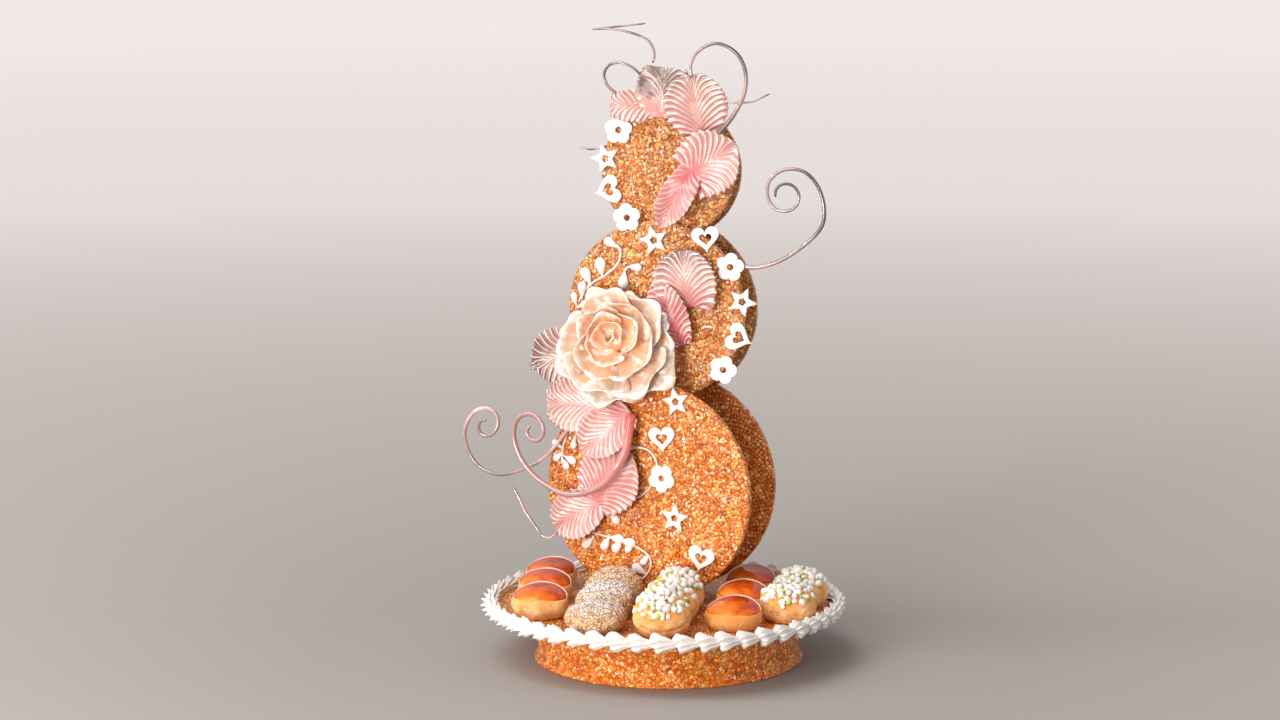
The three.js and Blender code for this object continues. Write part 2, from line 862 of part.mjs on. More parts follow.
// Tips a bun towards the front by lean degrees, so that its back rests on the bun behind, and
// cuts it flat where it stands.
function leaned(geometry, lean) {
  if (lean === 0) return geometry;
  const hinge = new THREE.Vector3(Math.cos(radians(CHOU.facing)), Math.sin(radians(CHOU.facing)), 0);
  geometry.applyMatrix4(new THREE.Matrix4().makeRotationAxis(hinge, radians(lean)));
  geometry.computeBoundingBox();
  geometry.translate(0, 0, -geometry.boundingBox.min.z - CHOU.sink);
  const below = new THREE.BoxGeometry(200, 200, 20).translate(0, 0, -10);
  return geometryOf(toManifold(geometry).subtract(toManifold(below)));
}

// Rows of buns on the plate: kind, middle on the plate, radius, height and lean in degrees.
const CHOUX = [
  ['caramel', -80, -82.5, 23, 26, 6],
  ['caramel', -101.8, -31.3, 23.5, 27, 6],
  ['caramel', -117.5, 11, 22.8, 27, 0],
  ['craquelin', -15.5, -111, 26.5, 30, 31],
  ['craquelin', -27, -66, 23.5, 28, 31],
  ['craquelin', -37.5, -25, 23.5, 29, 24],
  ['pearl', 39, -97, 23, 29, 29],
  ['pearl', 28.5, -56, 22.5, 29, 29],
  ['pearl', 18, -17, 21.5, 30, 24],
  ['caramel', 83, -52.5, 22.7, 26, 5],
  ['caramel', 68.7, 1, 22.4, 27, 5],
  ['caramel', 53, 53.6, 22, 27, 0],
  ['pearl', 113, -7, 22.7, 28, 16],
  ['pearl', 103.5, 43, 22.5, 28, 16],
];
const CHOU_FINISH = { caramel: CARAMEL, craquelin: CRAQUELIN, pearl: PEARL_SUGAR };

CHOUX.forEach(([kind, x, y, radius, height, lean], i) => {
  const random = randomSource(11 + i * 7);
  const body = chouBody(kind, radius, height, random);
  const upright = kind === 'pearl' ? fuse([body, ...pearls(radius, height, random)]) : body;
  const number = String(i + 1).padStart(2, '0');
  const mesh = addPiece(part, `chou_${kind}_${number}`, leaned(upright, lean), CHOU_FINISH[kind]);
  mesh.position.set(x, y, PLATE_TOP + GAP);
});

export default part;
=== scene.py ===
# %% [markdown]
# # A nougatine centrepiece with choux buns
# A *pièce montée* is a showpiece of set caramel and crushed almonds, called nougatine, that a
# pastry cook rolls out hot, cuts into discs and welds together with more caramel. This one has a
# drum, a round plate with choux buns and a piped border, and three pairs of upright discs with
# pulled-sugar leaves, a rose and long curls. The frame below holds the plain solids of every
# piece. Each cell builds the finished look of one kind of piece over its solid.

# %% Load the plain solids
import functools
import math

import bmesh
import bpy
import numpy as np
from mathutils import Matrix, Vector, noise


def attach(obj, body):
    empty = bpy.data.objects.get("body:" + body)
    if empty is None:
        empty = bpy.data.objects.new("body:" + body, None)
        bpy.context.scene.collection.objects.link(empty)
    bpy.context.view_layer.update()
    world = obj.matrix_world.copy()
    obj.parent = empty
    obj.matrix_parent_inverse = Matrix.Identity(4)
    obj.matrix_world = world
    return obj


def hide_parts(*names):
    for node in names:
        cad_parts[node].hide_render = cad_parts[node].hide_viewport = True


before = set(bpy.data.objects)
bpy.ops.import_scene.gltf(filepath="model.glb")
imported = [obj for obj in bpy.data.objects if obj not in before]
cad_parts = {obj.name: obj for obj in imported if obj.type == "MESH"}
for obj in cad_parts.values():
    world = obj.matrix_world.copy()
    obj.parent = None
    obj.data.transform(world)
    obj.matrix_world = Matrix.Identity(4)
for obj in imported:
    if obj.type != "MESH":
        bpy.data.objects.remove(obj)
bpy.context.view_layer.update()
MM = 0.001  # every length below is in millimetres, and Blender counts in metres
print("solids in the frame:", len(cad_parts))

# %% [markdown]
# ## Camera
# A long lens from a little above, 25 degrees round to the right of the lowest discs' front, keeps
# the discs' circles nearly round and still shows the plate as a thin ellipse. The look direction
# is worked out from that bearing and from the pitch, so that the numbers stay readable. The same
# two small functions place the lights later on.

# %% The camera
IMAGE_WIDTH = 1280
FOCAL_PIXELS = 3130.63
SENSOR_WIDTH = 36.0
CAMERA = {"place": (1076.8, -2366.7, 665.3), "bearing": 25.0, "pitch": 8.97}


def way_out(bearing, elevation):
    """The direction from the piece to something at this bearing from its front, in degrees."""
    b, e = math.radians(bearing), math.radians(elevation)
    return Vector((math.sin(b) * math.cos(e), -math.cos(b) * math.cos(e), math.sin(e)))


def put_in_scene(name, data, place=(0, 0, 0), look=None):
    """Adds an object at a place in metres. look is the direction that its own -Z axis gets."""
    made = bpy.data.objects.new(name, data)
    made.location = place
    if look:
        made.rotation_euler = look.to_track_quat("-Z", "Y").to_euler()
    bpy.context.scene.collection.objects.link(made)
    return made


lens = bpy.data.cameras.new("camera")
lens.sensor_width = SENSOR_WIDTH
lens.lens = FOCAL_PIXELS / IMAGE_WIDTH * SENSOR_WIDTH
lens.clip_end = 100
look = -way_out(CAMERA["bearing"], CAMERA["pitch"])
camera = put_in_scene("camera", lens, Vector(CAMERA["place"]) * MM, look)
bpy.context.scene.camera = camera
print("lens in mm:", round(lens.lens, 1))

# %% [markdown]
# ## Tools for materials
# A colour is written as the sRGB hex value that a paint program shows, and one function turns it
# into the linear values that Blender's sockets take. A second one sets or links a node's inputs,
# and a third adds any node with its settings, so that each material below reads as a list of its
# layers. Sizes of patterns are real ones in millimetres.

# %% Colours, nodes and the start of a material
def linear(code):
    """An sRGB hex colour as the linear RGBA values of a socket."""
    channels = [int(code[i:i + 2], 16) / 255 for i in (1, 3, 5)]
    return [c / 12.92 if c <= 0.04045 else ((c + 0.055) / 1.055) ** 2.4 for c in channels] + [1.0]


def feed(node, inputs):
    """Sets or links inputs, given by name or in the order that the node shows them. A node that is
    given as a value stands for its first output in use, and a text for a colour."""
    if isinstance(inputs, dict):
        pairs = [(node.inputs[name], value) for name, value in inputs.items()]
    else:
        pairs = zip([socket for socket in node.inputs if socket.enabled], inputs)
    for socket, value in pairs:
        if isinstance(value, bpy.types.Node):
            value = next(output for output in value.outputs if output.enabled)
        if isinstance(value, bpy.types.NodeSocket):
            node.id_data.links.new(value, socket)
        else:
            socket.default_value = linear(value) if isinstance(value, str) else value


def add_node(tree, point, kind, inputs=(), size=None, stops=(), **settings):
    """Adds a node. size is the width in mm that a texture's pattern has on the piece, and stops
    are the places and colours of a ramp. A Mix always mixes colours."""
    made = tree.nodes.new("ShaderNode" + kind)
    for name, value in (settings | ({"data_type": "RGBA"} if kind == "Mix" else {})).items():
        setattr(made, name, value)
    if size:
        feed(made, {"Vector": point, "Scale": 1 / (size * MM)})
    feed(made, inputs)
    if stops:
        ramp = made.color_ramp.elements
        while len(ramp) < len(stops):
            ramp.new(0.5)
        for element, (position, code) in zip(ramp, stops):
            element.position = position
            element.color = linear(code)
    return made


def start_finish(name, values):
    """A material, its Principled shader with plain values, the function that adds nodes to it, and
    the point on the piece in metres."""
    material = bpy.data.materials.new(name)
    material.use_nodes = True
    shader = material.node_tree.nodes["Principled BSDF"]
    feed(shader, values)
    point = add_node(material.node_tree, None, "TexCoord").outputs["Object"]
    return material, shader, functools.partial(add_node, material.node_tree, point), point


def bits_finish(name, values, tones):
    """A finish for loose bits, each of which takes a tone of its own from the ramp."""
    finish, shader, add, _ = start_finish(name, values)
    lot = add("NewGeometry").outputs["Random Per Island"]
    feed(shader, {"Base Color": add("ValToRGB", [lot], stops=tones)})
    return finish


def fine_finish(name, colour, roughness, size, detail, strength, depth):
    """A finish of one colour with a fine grain in its skin, size and depth in mm."""
    finish, shader, add, _ = start_finish(name, {"Base Color": colour, "Roughness": roughness})
    grain = add("TexNoise", {"Detail": detail}, size=size)
    relief = {"Height": grain, "Strength": strength, "Distance": depth * MM}
    feed(shader, {"Normal": add("Bump", relief)})
    return finish


print("pure white in linear:", linear("#FFFFFF"))

# %% [markdown]
# ## Tools for shapes
# Most sugar work is a line with a changing thickness, a thin curved sheet, or something turned.
# So small builders give the points and faces of a rod along a line, of a sheet with two sides and
# a rim, and of a turned form. Rods and turned forms are both skins over rings. All of them work
# in millimetres, and one function at the end joins such shells into a Blender object in metres.
# Blender's own primitives would need as many lines and would not follow the plain solids as
# closely.

# %% Lines, rods, sheets and turned forms
def spline(points, count):
    """Evenly spaced points on a smooth line: a centripetal Catmull-Rom curve."""
    p = np.asarray(points, float)
    p = np.vstack([2 * p[0] - p[1], p, 2 * p[-1] - p[-2]])
    samples = []
    for corners in zip(p[:-3], p[1:-2], p[2:-1], p[3:]):
        knots = np.cumsum([0] + [np.linalg.norm(v) ** 0.5 for v in np.diff(corners, axis=0)])
        t = np.linspace(knots[1], knots[2], 24, endpoint=False)[:, None]
        row = list(corners)
        for level in ((0, 1), (1, 2), (2, 3)), ((0, 2), (1, 3)), ((1, 2),):
            row = [
                ((knots[j] - t) * a + (t - knots[i]) * b) / (knots[j] - knots[i])
                for (i, j), a, b in zip(level, row, row[1:])
            ]
        samples.append(row[0])
    line = np.vstack(samples + [p[-2:-1]])
    run = np.concatenate([[0], np.cumsum(np.linalg.norm(np.diff(line, axis=0), axis=1))])
    even = np.linspace(0, run[-1], count)
    return np.column_stack([np.interp(even, run, line[:, k]) for k in range(line.shape[1])])


def full_turn(count):
    """Evenly spaced angles of one turn, in radians."""
    return np.arange(count) / count * 2 * np.pi


def about_axis(radius, angle, height=0.0):
    """Points about the Z axis at these radii, angles and heights."""
    x, y, z = np.broadcast_arrays(radius * np.cos(angle), radius * np.sin(angle), height)
    return np.stack([x, y, z], axis=-1)


def grid_faces(rows, columns, closed=False):
    """Four-sided faces between the points of a grid, whose rows are rings when it is closed."""
    faces = []
    for i in range(rows - 1):
        for j in range(columns if closed else columns - 1):
            a, b = i * columns + j, i * columns + (j + 1) % columns
            faces.append((a, b, b + columns, a + columns))
    return faces


def lofted(rings, foot=None, top=None):
    """A skin over rings of points. Each end is a flat face or, if it is given, a fan to a point."""
    sides, last = len(rings[0]), (len(rings) - 1) * len(rings[0])
    faces = grid_faces(len(rings), sides, closed=True)
    if foot is None:
        return np.vstack(rings), faces + [tuple(range(sides)), tuple(range(last, last + sides))]
    for j in range(sides):
        k = (j + 1) % sides
        faces += [(last + sides, k, j), (last + sides + 1, last + j, last + k)]
    return np.vstack([*rings, [foot], [top]]), faces


def turned(profile, turns):
    """A form turned about Z from a profile of (radius, height) that starts and ends on the axis."""
    rings = [about_axis(r, full_turn(turns), z) for r, z in profile[1:-1]]
    return lofted(rings, (0, 0, profile[0][1]), (0, 0, profile[-1][1]))


def rod(path, radii, sides=12, flat=1.0, side_hint=(0, 1, 0)):
    """A rod along a line, one radius per point. flat squeezes it along side_hint."""
    path = np.asarray(path, float)
    tangents = np.gradient(path, axis=0)
    tangents /= np.linalg.norm(tangents, axis=1)[:, None]
    hint = np.array(side_hint, float)
    depth = hint - tangents * (tangents @ hint)[:, None]
    depth /= np.linalg.norm(depth, axis=1)[:, None] + 1e-9
    across = np.cross(tangents, depth)
    turn = full_turn(sides)[None, :, None]
    ring = np.cos(turn) * across[:, None] + np.sin(turn) * depth[:, None] * flat
    return lofted(path[:, None] + ring * np.asarray(radii)[:, None, None])


def rounded(radii, ends=3):
    """Lets the first and last few radii of a rod run out, so that it has round ends."""
    radii = np.array(radii, float)
    for i in range(ends):
        share = math.sqrt(1 - (1 - (i + 0.15) / ends) ** 2)
        radii[i] *= share
        radii[-1 - i] *= share
    return radii


def sheet(middle, thickness, finish, **values):
    """The shell of a closed sheet, from a grid of its middle points. The thickness and the values
    that its finish reads may differ from point to point."""
    rows, columns, _ = middle.shape
    normals = np.cross(np.gradient(middle, axis=0), np.gradient(middle, axis=1))
    normals /= np.linalg.norm(normals, axis=2)[:, :, None] + 1e-9
    half = normals * np.broadcast_to(thickness, (rows, columns))[:, :, None] / 2
    points = np.vstack([(middle + half).reshape(-1, 3), (middle - half).reshape(-1, 3)])
    size = rows * columns
    front = grid_faces(rows, columns)
    back = [tuple(size + k for k in reversed(face)) for face in front]
    rim = list(range(columns)) + [i * columns + columns - 1 for i in range(1, rows)]
    rim += [(rows - 1) * columns + j for j in range(columns - 2, -1, -1)]
    rim += [i * columns for i in range(rows - 2, 0, -1)]
    sides = [(b, a, size + a, size + b) for a, b in zip(rim, rim[1:] + rim[:1])]
    on_both = {key: np.tile(value.ravel(), 2) for key, value in values.items()}
    return points, front + back + sides, finish, True, on_both


print("a rod has", len(rod(np.linspace((0, 0, 0), (9, 0, 0), 10), np.ones(10))[1]), "faces")

# %% Places, roughness and the finished object
X, Y, Z = range(3)


def turned_to(points, degrees, from_axis, to_axis):
    """Turns points by so many degrees from one axis towards another, such as from X to Y."""
    a = math.radians(degrees)
    turn = np.eye(3)
    turn[[from_axis, to_axis], [from_axis, to_axis]] = math.cos(a)
    turn[to_axis, from_axis], turn[from_axis, to_axis] = math.sin(a), -math.sin(a)
    return np.asarray(points) @ turn.T


def unevenness(points, size, seed=0.0):
    """A smooth random value between about -1 and 1 at each point, with hills of the given size."""
    shift = Vector((seed, seed * 1.7, seed * 0.6))
    return np.array([noise.noise(Vector(p) / size + shift) for p in np.asarray(points)])


made_pieces = {}


def make_piece(name, shells, stands_for, move=np.asarray):
    """Joins shells into one object that replaces a solid. A shell is its points in mm, its faces,
    its finish, whether it is smooth and, in some, values for its points that the finish reads."""
    finishes, points, faces, finish_of, smooth_of, stored = [], [], [], [], [], {}
    first = 0
    for shell_points, shell_faces, finish, smooth, *values in shells:
        if finish not in finishes:
            finishes.append(finish)
        points.append(move(shell_points))
        faces += [tuple(first + k for k in face) for face in shell_faces]
        finish_of += [finishes.index(finish)] * len(shell_faces)
        smooth_of += [smooth] * len(shell_faces)
        for key, value in (values[0] if values else {}).items():
            stored.setdefault(key, []).append((first, value))
        first += len(shell_points)
    mesh = bpy.data.meshes.new(name)
    mesh.from_pydata((np.vstack(points) * MM).tolist(), [], faces)
    mesh.polygons.foreach_set("material_index", finish_of)
    mesh.polygons.foreach_set("use_smooth", smooth_of)
    for finish in finishes:
        mesh.materials.append(finish)
    shape = bmesh.new()
    shape.from_mesh(mesh)
    bmesh.ops.recalc_face_normals(shape, faces=shape.faces)
    shape.to_mesh(mesh)
    shape.free()
    for key, parts in stored.items():
        at_points = np.zeros(first, np.float32)
        for start, value in parts:
            at_points[start:start + len(value)] = value
        mesh.attributes.new(key, "FLOAT", "POINT").data.foreach_set("value", at_points)
    piece = put_in_scene(name, mesh)
    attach(piece, "root")
    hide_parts(*stands_for)
    made_pieces[name] = sum(len(p.vertices) - 2 for p in mesh.polygons)


print("half a turn takes X to", turned_to([[1, 0, 0]], 180, X, Y).round(3).tolist())

# %% [markdown]
# ## Nougatine
# Nougatine is caramel stirred with crushed almonds. The caramel is clear amber with a polished
# skin, and each almond grain is a paler, duller chip that lies in it or stands a little proud.
# The caramel gets a cell pattern as fine as the grains, for those that lie under the surface, and
# each cell tilts its own way, so that some catch the light and the next ones do not. The proud
# grains are real geometry, because their facets give the sparkle in the sheen. The two upper tiers
# get a paler and browner caramel.

# %% Caramel and almond
GRAIN = 3.0  # the width of a grain of crushed almond


def caramel_with_grains(name, ambers, chips, shine=0.7, skin_tilt=0.4):
    """Caramel full of chips. Every chip has its own tone and, as a broken one has, its own tilt.
    skin_tilt says how much of that tilt shows in the clear skin."""
    finish, shader, add, point = start_finish(
        name, {"IOR": 1.4, "Coat Weight": shine, "Coat Roughness": 0.14, "Coat IOR": 1.6}
    )
    cells = add("TexVoronoi", size=GRAIN)
    tone = add("SeparateColor", [cells.outputs["Color"]])
    edges = add("TexVoronoi", size=GRAIN, feature="DISTANCE_TO_EDGE")
    inside = add("MapRange", [edges, 0, 0.17])
    cloud = add("TexNoise", {"Detail": 3}, size=22)
    amber, chip = add("ValToRGB", [cloud], stops=ambers), add("ValToRGB", [tone], stops=chips)
    from_middle = add("VectorMath", [point, cells.outputs["Position"]], operation="SUBTRACT")
    chance = add("TexWhiteNoise", {"Vector": cells.outputs["Position"]})
    way = add("VectorMath", [chance.outputs["Color"], (0.5, 0.5, 0.5)], operation="SUBTRACT")
    tilted = add("VectorMath", [from_middle, way], operation="DOT_PRODUCT")
    height = add("Math", [inside, 0.25 * MM, tilted], operation="MULTIPLY_ADD")
    relief = {"Height": height, "Strength": 1.0}
    feed(shader, {
        "Base Color": add("Mix", [inside, amber, chip]),
        "Roughness": add("MapRange", [tone, 0.4, 1, 0.28, 0.45]),  # pale chips are duller
        "Normal": add("Bump", {**relief, "Distance": 0.9}),
        "Coat Normal": add("Bump", {**relief, "Distance": skin_tilt}),
    })
    return finish


nougatine = caramel_with_grains(
    "nougatine_caramel_with_almond", [(0.35, "#904004"), (0.65, "#B45608")],
    [(0.0, "#A04A0A"), (0.35, "#BF6210"), (0.6, "#D27E26"), (0.95, "#E4A250")],
)
tan_nougatine = caramel_with_grains(
    "nougatine_of_paler_caramel", [(0.35, "#844210"), (0.65, "#A65A18")],
    [(0.0, "#8E4C1A"), (0.35, "#A8682A"), (0.6, "#BA874A"), (0.95, "#CEAA76")],
)
# The drum's copy is painted lighter and more orange than the other nougatine. This is painted light
# where the plate above shades the drum.
drum_nougatine_painted_lighter = caramel_with_grains(
    "nougatine_painted_lighter_for_the_drum", [(0.35, "#A64204"), (0.65, "#DE660A")],
    [(0.0, "#CC5804"), (0.35, "#F8820C"), (0.6, "#FFA024"), (0.95, "#FFCA6E")], 0.5, 1.0,
)
almond = bits_finish(
    "almond_grain_in_caramel",
    {"IOR": 1.45, "Roughness": 0.3, "Coat Weight": 0.4, "Coat Roughness": 0.12},
    [(0.0, "#BE5A0C"), (0.35, "#DA761C"), (0.6, "#EC983E"), (0.85, "#F4B468"), (1.0, "#FBD29E")],
)
print("nougatines:", nougatine.name, tan_nougatine.name, drum_nougatine_painted_lighter.name)

# %% Grains that stand proud
random = np.random.default_rng(20)
GOLDEN_ANGLE = math.pi * (3 - math.sqrt(5))
GRAIN_SIDES = 5
GRAIN_SPACING = 11.0  # one proud grain for this many square millimetres
GRAIN_ROOT = 0.9  # how deep the tip of a grain sits in the caramel


def almond_grains(places, normals):
    """One flat, uneven grain at each place, more than half sunk in the caramel."""
    count = len(places)
    normals = np.broadcast_to(normals, places.shape)
    upright = np.abs(normals[:, 2:3]) > np.linalg.norm(normals[:, :2], axis=1)[:, None]
    helper = np.where(upright, [[1.0, 0, 0]], [[0.0, 0, 1]])
    across = np.cross(helper, normals)
    across /= np.linalg.norm(across, axis=1)[:, None]
    up = np.cross(normals, across)
    angle = random.uniform(0, 6.28, (count, 1)) + full_turn(GRAIN_SIDES)
    angle = angle + random.uniform(-0.3, 0.3, (count, GRAIN_SIDES))
    reach = random.uniform(1.0, 2.2, (count, 1)) * random.uniform(0.75, 1.15, (count, GRAIN_SIDES))
    rise = random.uniform(0.35, 0.85, (count, 1))
    edge = random.uniform(-0.2, 0.12, (count, GRAIN_SIDES))
    ring = places[:, None] + across[:, None] * (np.cos(angle) * reach)[:, :, None]
    ring = ring + up[:, None] * (np.sin(angle) * reach)[:, :, None]
    ring = ring + normals[:, None] * edge[:, :, None]
    crest = places + normals * rise + across * random.uniform(-0.5, 0.5, (count, 1))
    crest += up * random.uniform(-0.5, 0.5, (count, 1))
    root = places - normals * GRAIN_ROOT
    points = np.concatenate([ring, crest[:, None], root[:, None]], axis=1).reshape(-1, 3)
    corners = [(i, (i + 1) % GRAIN_SIDES, GRAIN_SIDES) for i in range(GRAIN_SIDES)]
    corners += [((i + 1) % GRAIN_SIDES, i, GRAIN_SIDES + 1) for i in range(GRAIN_SIDES)]
    size = GRAIN_SIDES + 2
    faces = [tuple(n * size + k for k in corner) for n in range(count) for corner in corners]
    return points, faces, almond, False


def sunflower(inner, outer, height):
    """Points spread evenly over a ring at one height, a little shaken."""
    count = int(math.pi * (outer**2 - inner**2) / GRAIN_SPACING)
    share = (np.arange(count) + 0.5) / count
    radius = np.sqrt(inner**2 + (outer**2 - inner**2) * share) + random.uniform(-0.7, 0.7, count)
    return about_axis(radius, np.arange(count) * GOLDEN_ANGLE, height)


print("grains on a disc of 100 mm radius:", len(sunflower(0, 100, 0)))

# %% [markdown]
# ## Drum and plate
# The drum is a thick cake of nougatine pressed in a ring, and the plate is a thin one rolled out
# and cut. Both are turned forms. Their corners are rounded, as hot nougatine leaves a ring, and a
# slow unevenness keeps their outlines from looking machined.

# %% Drum and plate
DRUM = {"foot": 114.2, "waist": 110.5, "flare": 7, "height": 41}
PLATE = {"x": -3.9, "y": -1.8, "radius": 144.5, "thickness": 3.7}
GAP = 0.3  # the space that the plain solids leave between two pieces
PLATE_TOP = DRUM["height"] + GAP + PLATE["thickness"]
INNER_RING = 60  # the radius of the innermost ring of points
TURNS = 180

foot, waist, flare, height = (DRUM[key] for key in ("foot", "waist", "flare", "height"))
profile = [(0, 0), (INNER_RING, 0), (foot - 1.4, 0), (foot - 0.2, 0.5), (foot, 1.6)]
profile += [(waist + 1.6, flare - 2.4), (waist, flare + 1)]
profile += [(waist, z) for z in range(12, 40, 4)]
profile += [(waist - 0.4, height - 0.6), (waist - 1.6, height), (INNER_RING, height), (0, height)]
points, faces = turned(profile, TURNS)
points[:, :2] *= 1 + 0.004 * unevenness(points, 26)[:, None]
GRAIN_BAND = (3, 39.5)  # the heights between which grains stand out of the drum
count = int(2 * math.pi * 111 * 37 / (2 * GRAIN_SPACING))
angle, up = random.uniform([0, GRAIN_BAND[0]], [2 * math.pi, GRAIN_BAND[1]], (count, 2)).T
radius = np.interp(up, [0, flare, height], [foot, waist, waist])
grains = almond_grains(about_axis(radius, angle, up), about_axis(1, angle))
shells = [(points, faces, drum_nougatine_painted_lighter, True), grains]
make_piece("drum_of_nougatine", shells, ["nougatine_drum"])

reach, thick = PLATE["radius"], PLATE["thickness"]
profile = [(0, 0), (INNER_RING, 0)] + [(r, 0) for r in range(66, 142, 6)]
profile += [(reach - 0.7, 0), (reach, 0.8), (reach, thick - 0.8), (reach - 0.7, thick)]
profile += [(r, thick) for r in range(140, 4, -6)] + [(0, thick)]
points, faces = turned(profile, TURNS)
points[:, 2] += 0.16 * unevenness(points, 24)
above, below = sunflower(0, reach - 3, thick), sunflower(waist + 1, reach - 2, 0)
shells = [(points, faces, nougatine, True), almond_grains(above, [0, 0, 0.6])]
shells += [almond_grains(below, [0, 0, -1])]
on_drum = np.array([PLATE["x"], PLATE["y"], DRUM["height"] + GAP])
make_piece("plate_of_nougatine", shells, ["nougatine_plate"], lambda p: p + on_drum)
print("triangles:", made_pieces)

# %% [markdown]
# ## Upright discs
# Each tier is a pair of discs about 5 mm thick, cut from a sheet that is still warm, so the rim is
# soft and not quite round. Every tier has its own frame: X runs across the face, -Y comes out of
# it and Z is up. A disc is a turned form laid on its side, with grains on both faces and the rim.

# %% Upright discs
SHEET = 5.0  # the thickness that the nougatine is rolled to
SOFT_EDGE = 1.1
STEP_ON_DISC = 4.0
RIM_DEPTH = 0.9  # how far the grains on the rim keep from the faces
# Each disc: its radius, and its middle across, up and back in the tier's frame.
TIERS = {
    "low": {"place": (-23.5, 7.7, 139.6), "yaw": 0, "finish": nougatine,
            "front": (94.4, 0, 0, 0), "back": (94.4, -2, 0, 58.3)},
    "mid": {"place": (-21, 19.9, 292.7), "yaw": 10, "finish": tan_nougatine,
            "front": (76.8, 0, 0, 0), "back": (79, 0.6, -1.6, 33.7)},
    "top": {"place": (-14, 28.1, 410.6), "yaw": 13, "finish": tan_nougatine,
            "front": (57, 0, 0, 0), "back": (58, 1, -0.9, 19.9)},
}


def in_tier(tier):
    """The move from a tier's own frame to the frame of the whole."""
    return lambda points: turned_to(points, TIERS[tier]["yaw"], X, Y) + TIERS[tier]["place"]


def disc_shells(radius, seed, sheet_finish):
    """A disc that lies on its front, at z = 0: its body and its proud grains."""
    inner = np.arange(STEP_ON_DISC, radius - SOFT_EDGE - 1, STEP_ON_DISC)
    flat = radius - SOFT_EDGE
    quarter = about_axis(SOFT_EDGE, np.linspace(0, math.pi / 2, 5))[:, :2]
    profile = [(0, 0)] + [(r, 0) for r in inner]
    profile += [(flat + s, SOFT_EDGE - c) for c, s in quarter] + [(radius, SHEET / 2)]
    profile += [(flat + c, SHEET - SOFT_EDGE + s) for c, s in quarter]
    profile += [(r, SHEET) for r in inner[::-1]] + [(0, SHEET)]
    points, faces = turned(profile, int(2 * math.pi * radius / STEP_ON_DISC))
    points[:, 2] += 0.22 * unevenness(points, 20, seed)
    rim = about_axis(radius, np.arctan2(points[:, 1], points[:, 0]))
    points[:, :2] *= 1 + (0.45 * unevenness(rim, 17, seed + 5) / radius)[:, None]
    front, back = (sunflower(0, radius - 1.6, depth) for depth in (0, SHEET))
    count = int(2 * math.pi * radius * SHEET / GRAIN_SPACING)
    angle = random.uniform(0, 2 * math.pi, count)
    edge = about_axis(radius - 0.1, angle, random.uniform(RIM_DEPTH, SHEET - RIM_DEPTH, count))
    ahead, behind = np.tile([0, 0, -1.0], (len(front), 1)), np.tile([0, 0, 1.0], (len(back), 1))
    normals = np.vstack([ahead, behind, about_axis(1, angle)])
    grains = almond_grains(np.vstack([front, back, edge]), normals)
    return [(points, faces, sheet_finish, True), grains]


for tier, values in TIERS.items():
    for side in ("front", "back"):
        radius, x, z, depth = values[side]

        def stand(points):
            """Stands a disc up at its place in the tier, and cuts it off at the plate."""
            points = in_tier(tier)(points[:, [0, 2, 1]] + [x, depth, z])
            return np.maximum(points, [-np.inf, -np.inf, PLATE_TOP + 0.1])

        shells = disc_shells(radius, radius / 7 + depth, values["finish"])
        make_piece(f"{tier}_disc_{side}", shells, [f"disc_{tier}_{side}"], stand)
print("triangles so far:", sum(made_pieces.values()))

# %% [markdown]
# ## Piped border
# Royal icing is egg white beaten with icing sugar. It sets white and matt like chalk, and a star
# nozzle gives it sharp flutes. Each shell is squeezed out fat and then pulled thin, and the next
# one starts on its tail. A rod with a fluted section and a teardrop run of radii gives one shell,
# and a small random change keeps the row hand-made.

# %% Royal icing and the border of shells
royal_icing = fine_finish("royal_icing_matt_sugar", "#E4E0DC", 0.72, 0.8, 2, 0.2, 0.1)
BORDER = {"shells": 51, "radius": 147.6, "middle": 47.0, "girth": 8.2, "length": 25.0, "flutes": 9}
SHELL_SHARES = [0, 0.02, 0.05, 0.1, 0.17, 0.26, 0.36, 0.46, 0.56, 0.66, 0.76, 0.86, 0.94, 1.0]
SHELL_GIRTHS = [0.3, 0.62, 0.84, 0.98, 1.0, 0.92, 0.78, 0.64, 0.52, 0.42, 0.34, 0.28, 0.22, 0.1]


def piped_shell(scale, twist):
    """One shell that runs along +X: a star-shaped head at x = 0, drawn out to a tail at the end."""
    turn = full_turn(8 * BORDER["flutes"])
    rings = []
    for s, f in zip(SHELL_SHARES, SHELL_GIRTHS):
        crest = (1 - np.abs(np.sin(turn * BORDER["flutes"] / 2 + twist + 3.2 * s))) ** 1.1
        radius = BORDER["girth"] * scale * f * (0.5 + 0.6 * crest)
        slant = 2.6 * np.sin(turn) + 2.4 * crest - 1.2
        along = s * BORDER["length"] - slant * (1 - s) ** 5
        sag = 1.2 * (1 - f)
        rings.append(np.column_stack([along, radius * np.cos(turn), radius * np.sin(turn) - sag]))
    return lofted(rings)


shells = []
for i in range(BORDER["shells"]):
    scale, twist = random.uniform(0.9, 1.08), random.uniform(0, 1)
    points, faces = piped_shell(scale, twist)
    start = math.radians(i * 360 / BORDER["shells"] - 90 + random.uniform(-0.5, 0.5))
    along, out, up = points.T
    reach = BORDER["radius"] - out * 0.95
    points = about_axis(reach, start + along / BORDER["radius"], up + BORDER["middle"])
    shells.append((points + [PLATE["x"], PLATE["y"], 0], faces, royal_icing, True))
make_piece("border_of_shells", shells, ["piped_border"])
print("triangles in the border:", made_pieces["border_of_shells"])

# %% [markdown]
# ## White motifs
# Hearts, blossoms and stars are cut from pastillage, a sugar dough that dries flat, hard and dead
# white. A flat Blender curve with a hole, a depth and a small bevel is such a cut-out: the curve
# fills itself, and the bevel rounds the cut edge.

# %% Pastillage motifs
pastillage = fine_finish("pastillage_dried_sugar_dough", "#F5F2EE", 0.6, 1.5, 3, 0.15, 0.12)
MOTIF = {"size": 24, "thickness": 3, "bevel": 0.7}
MOTIF_GAP = 0.3


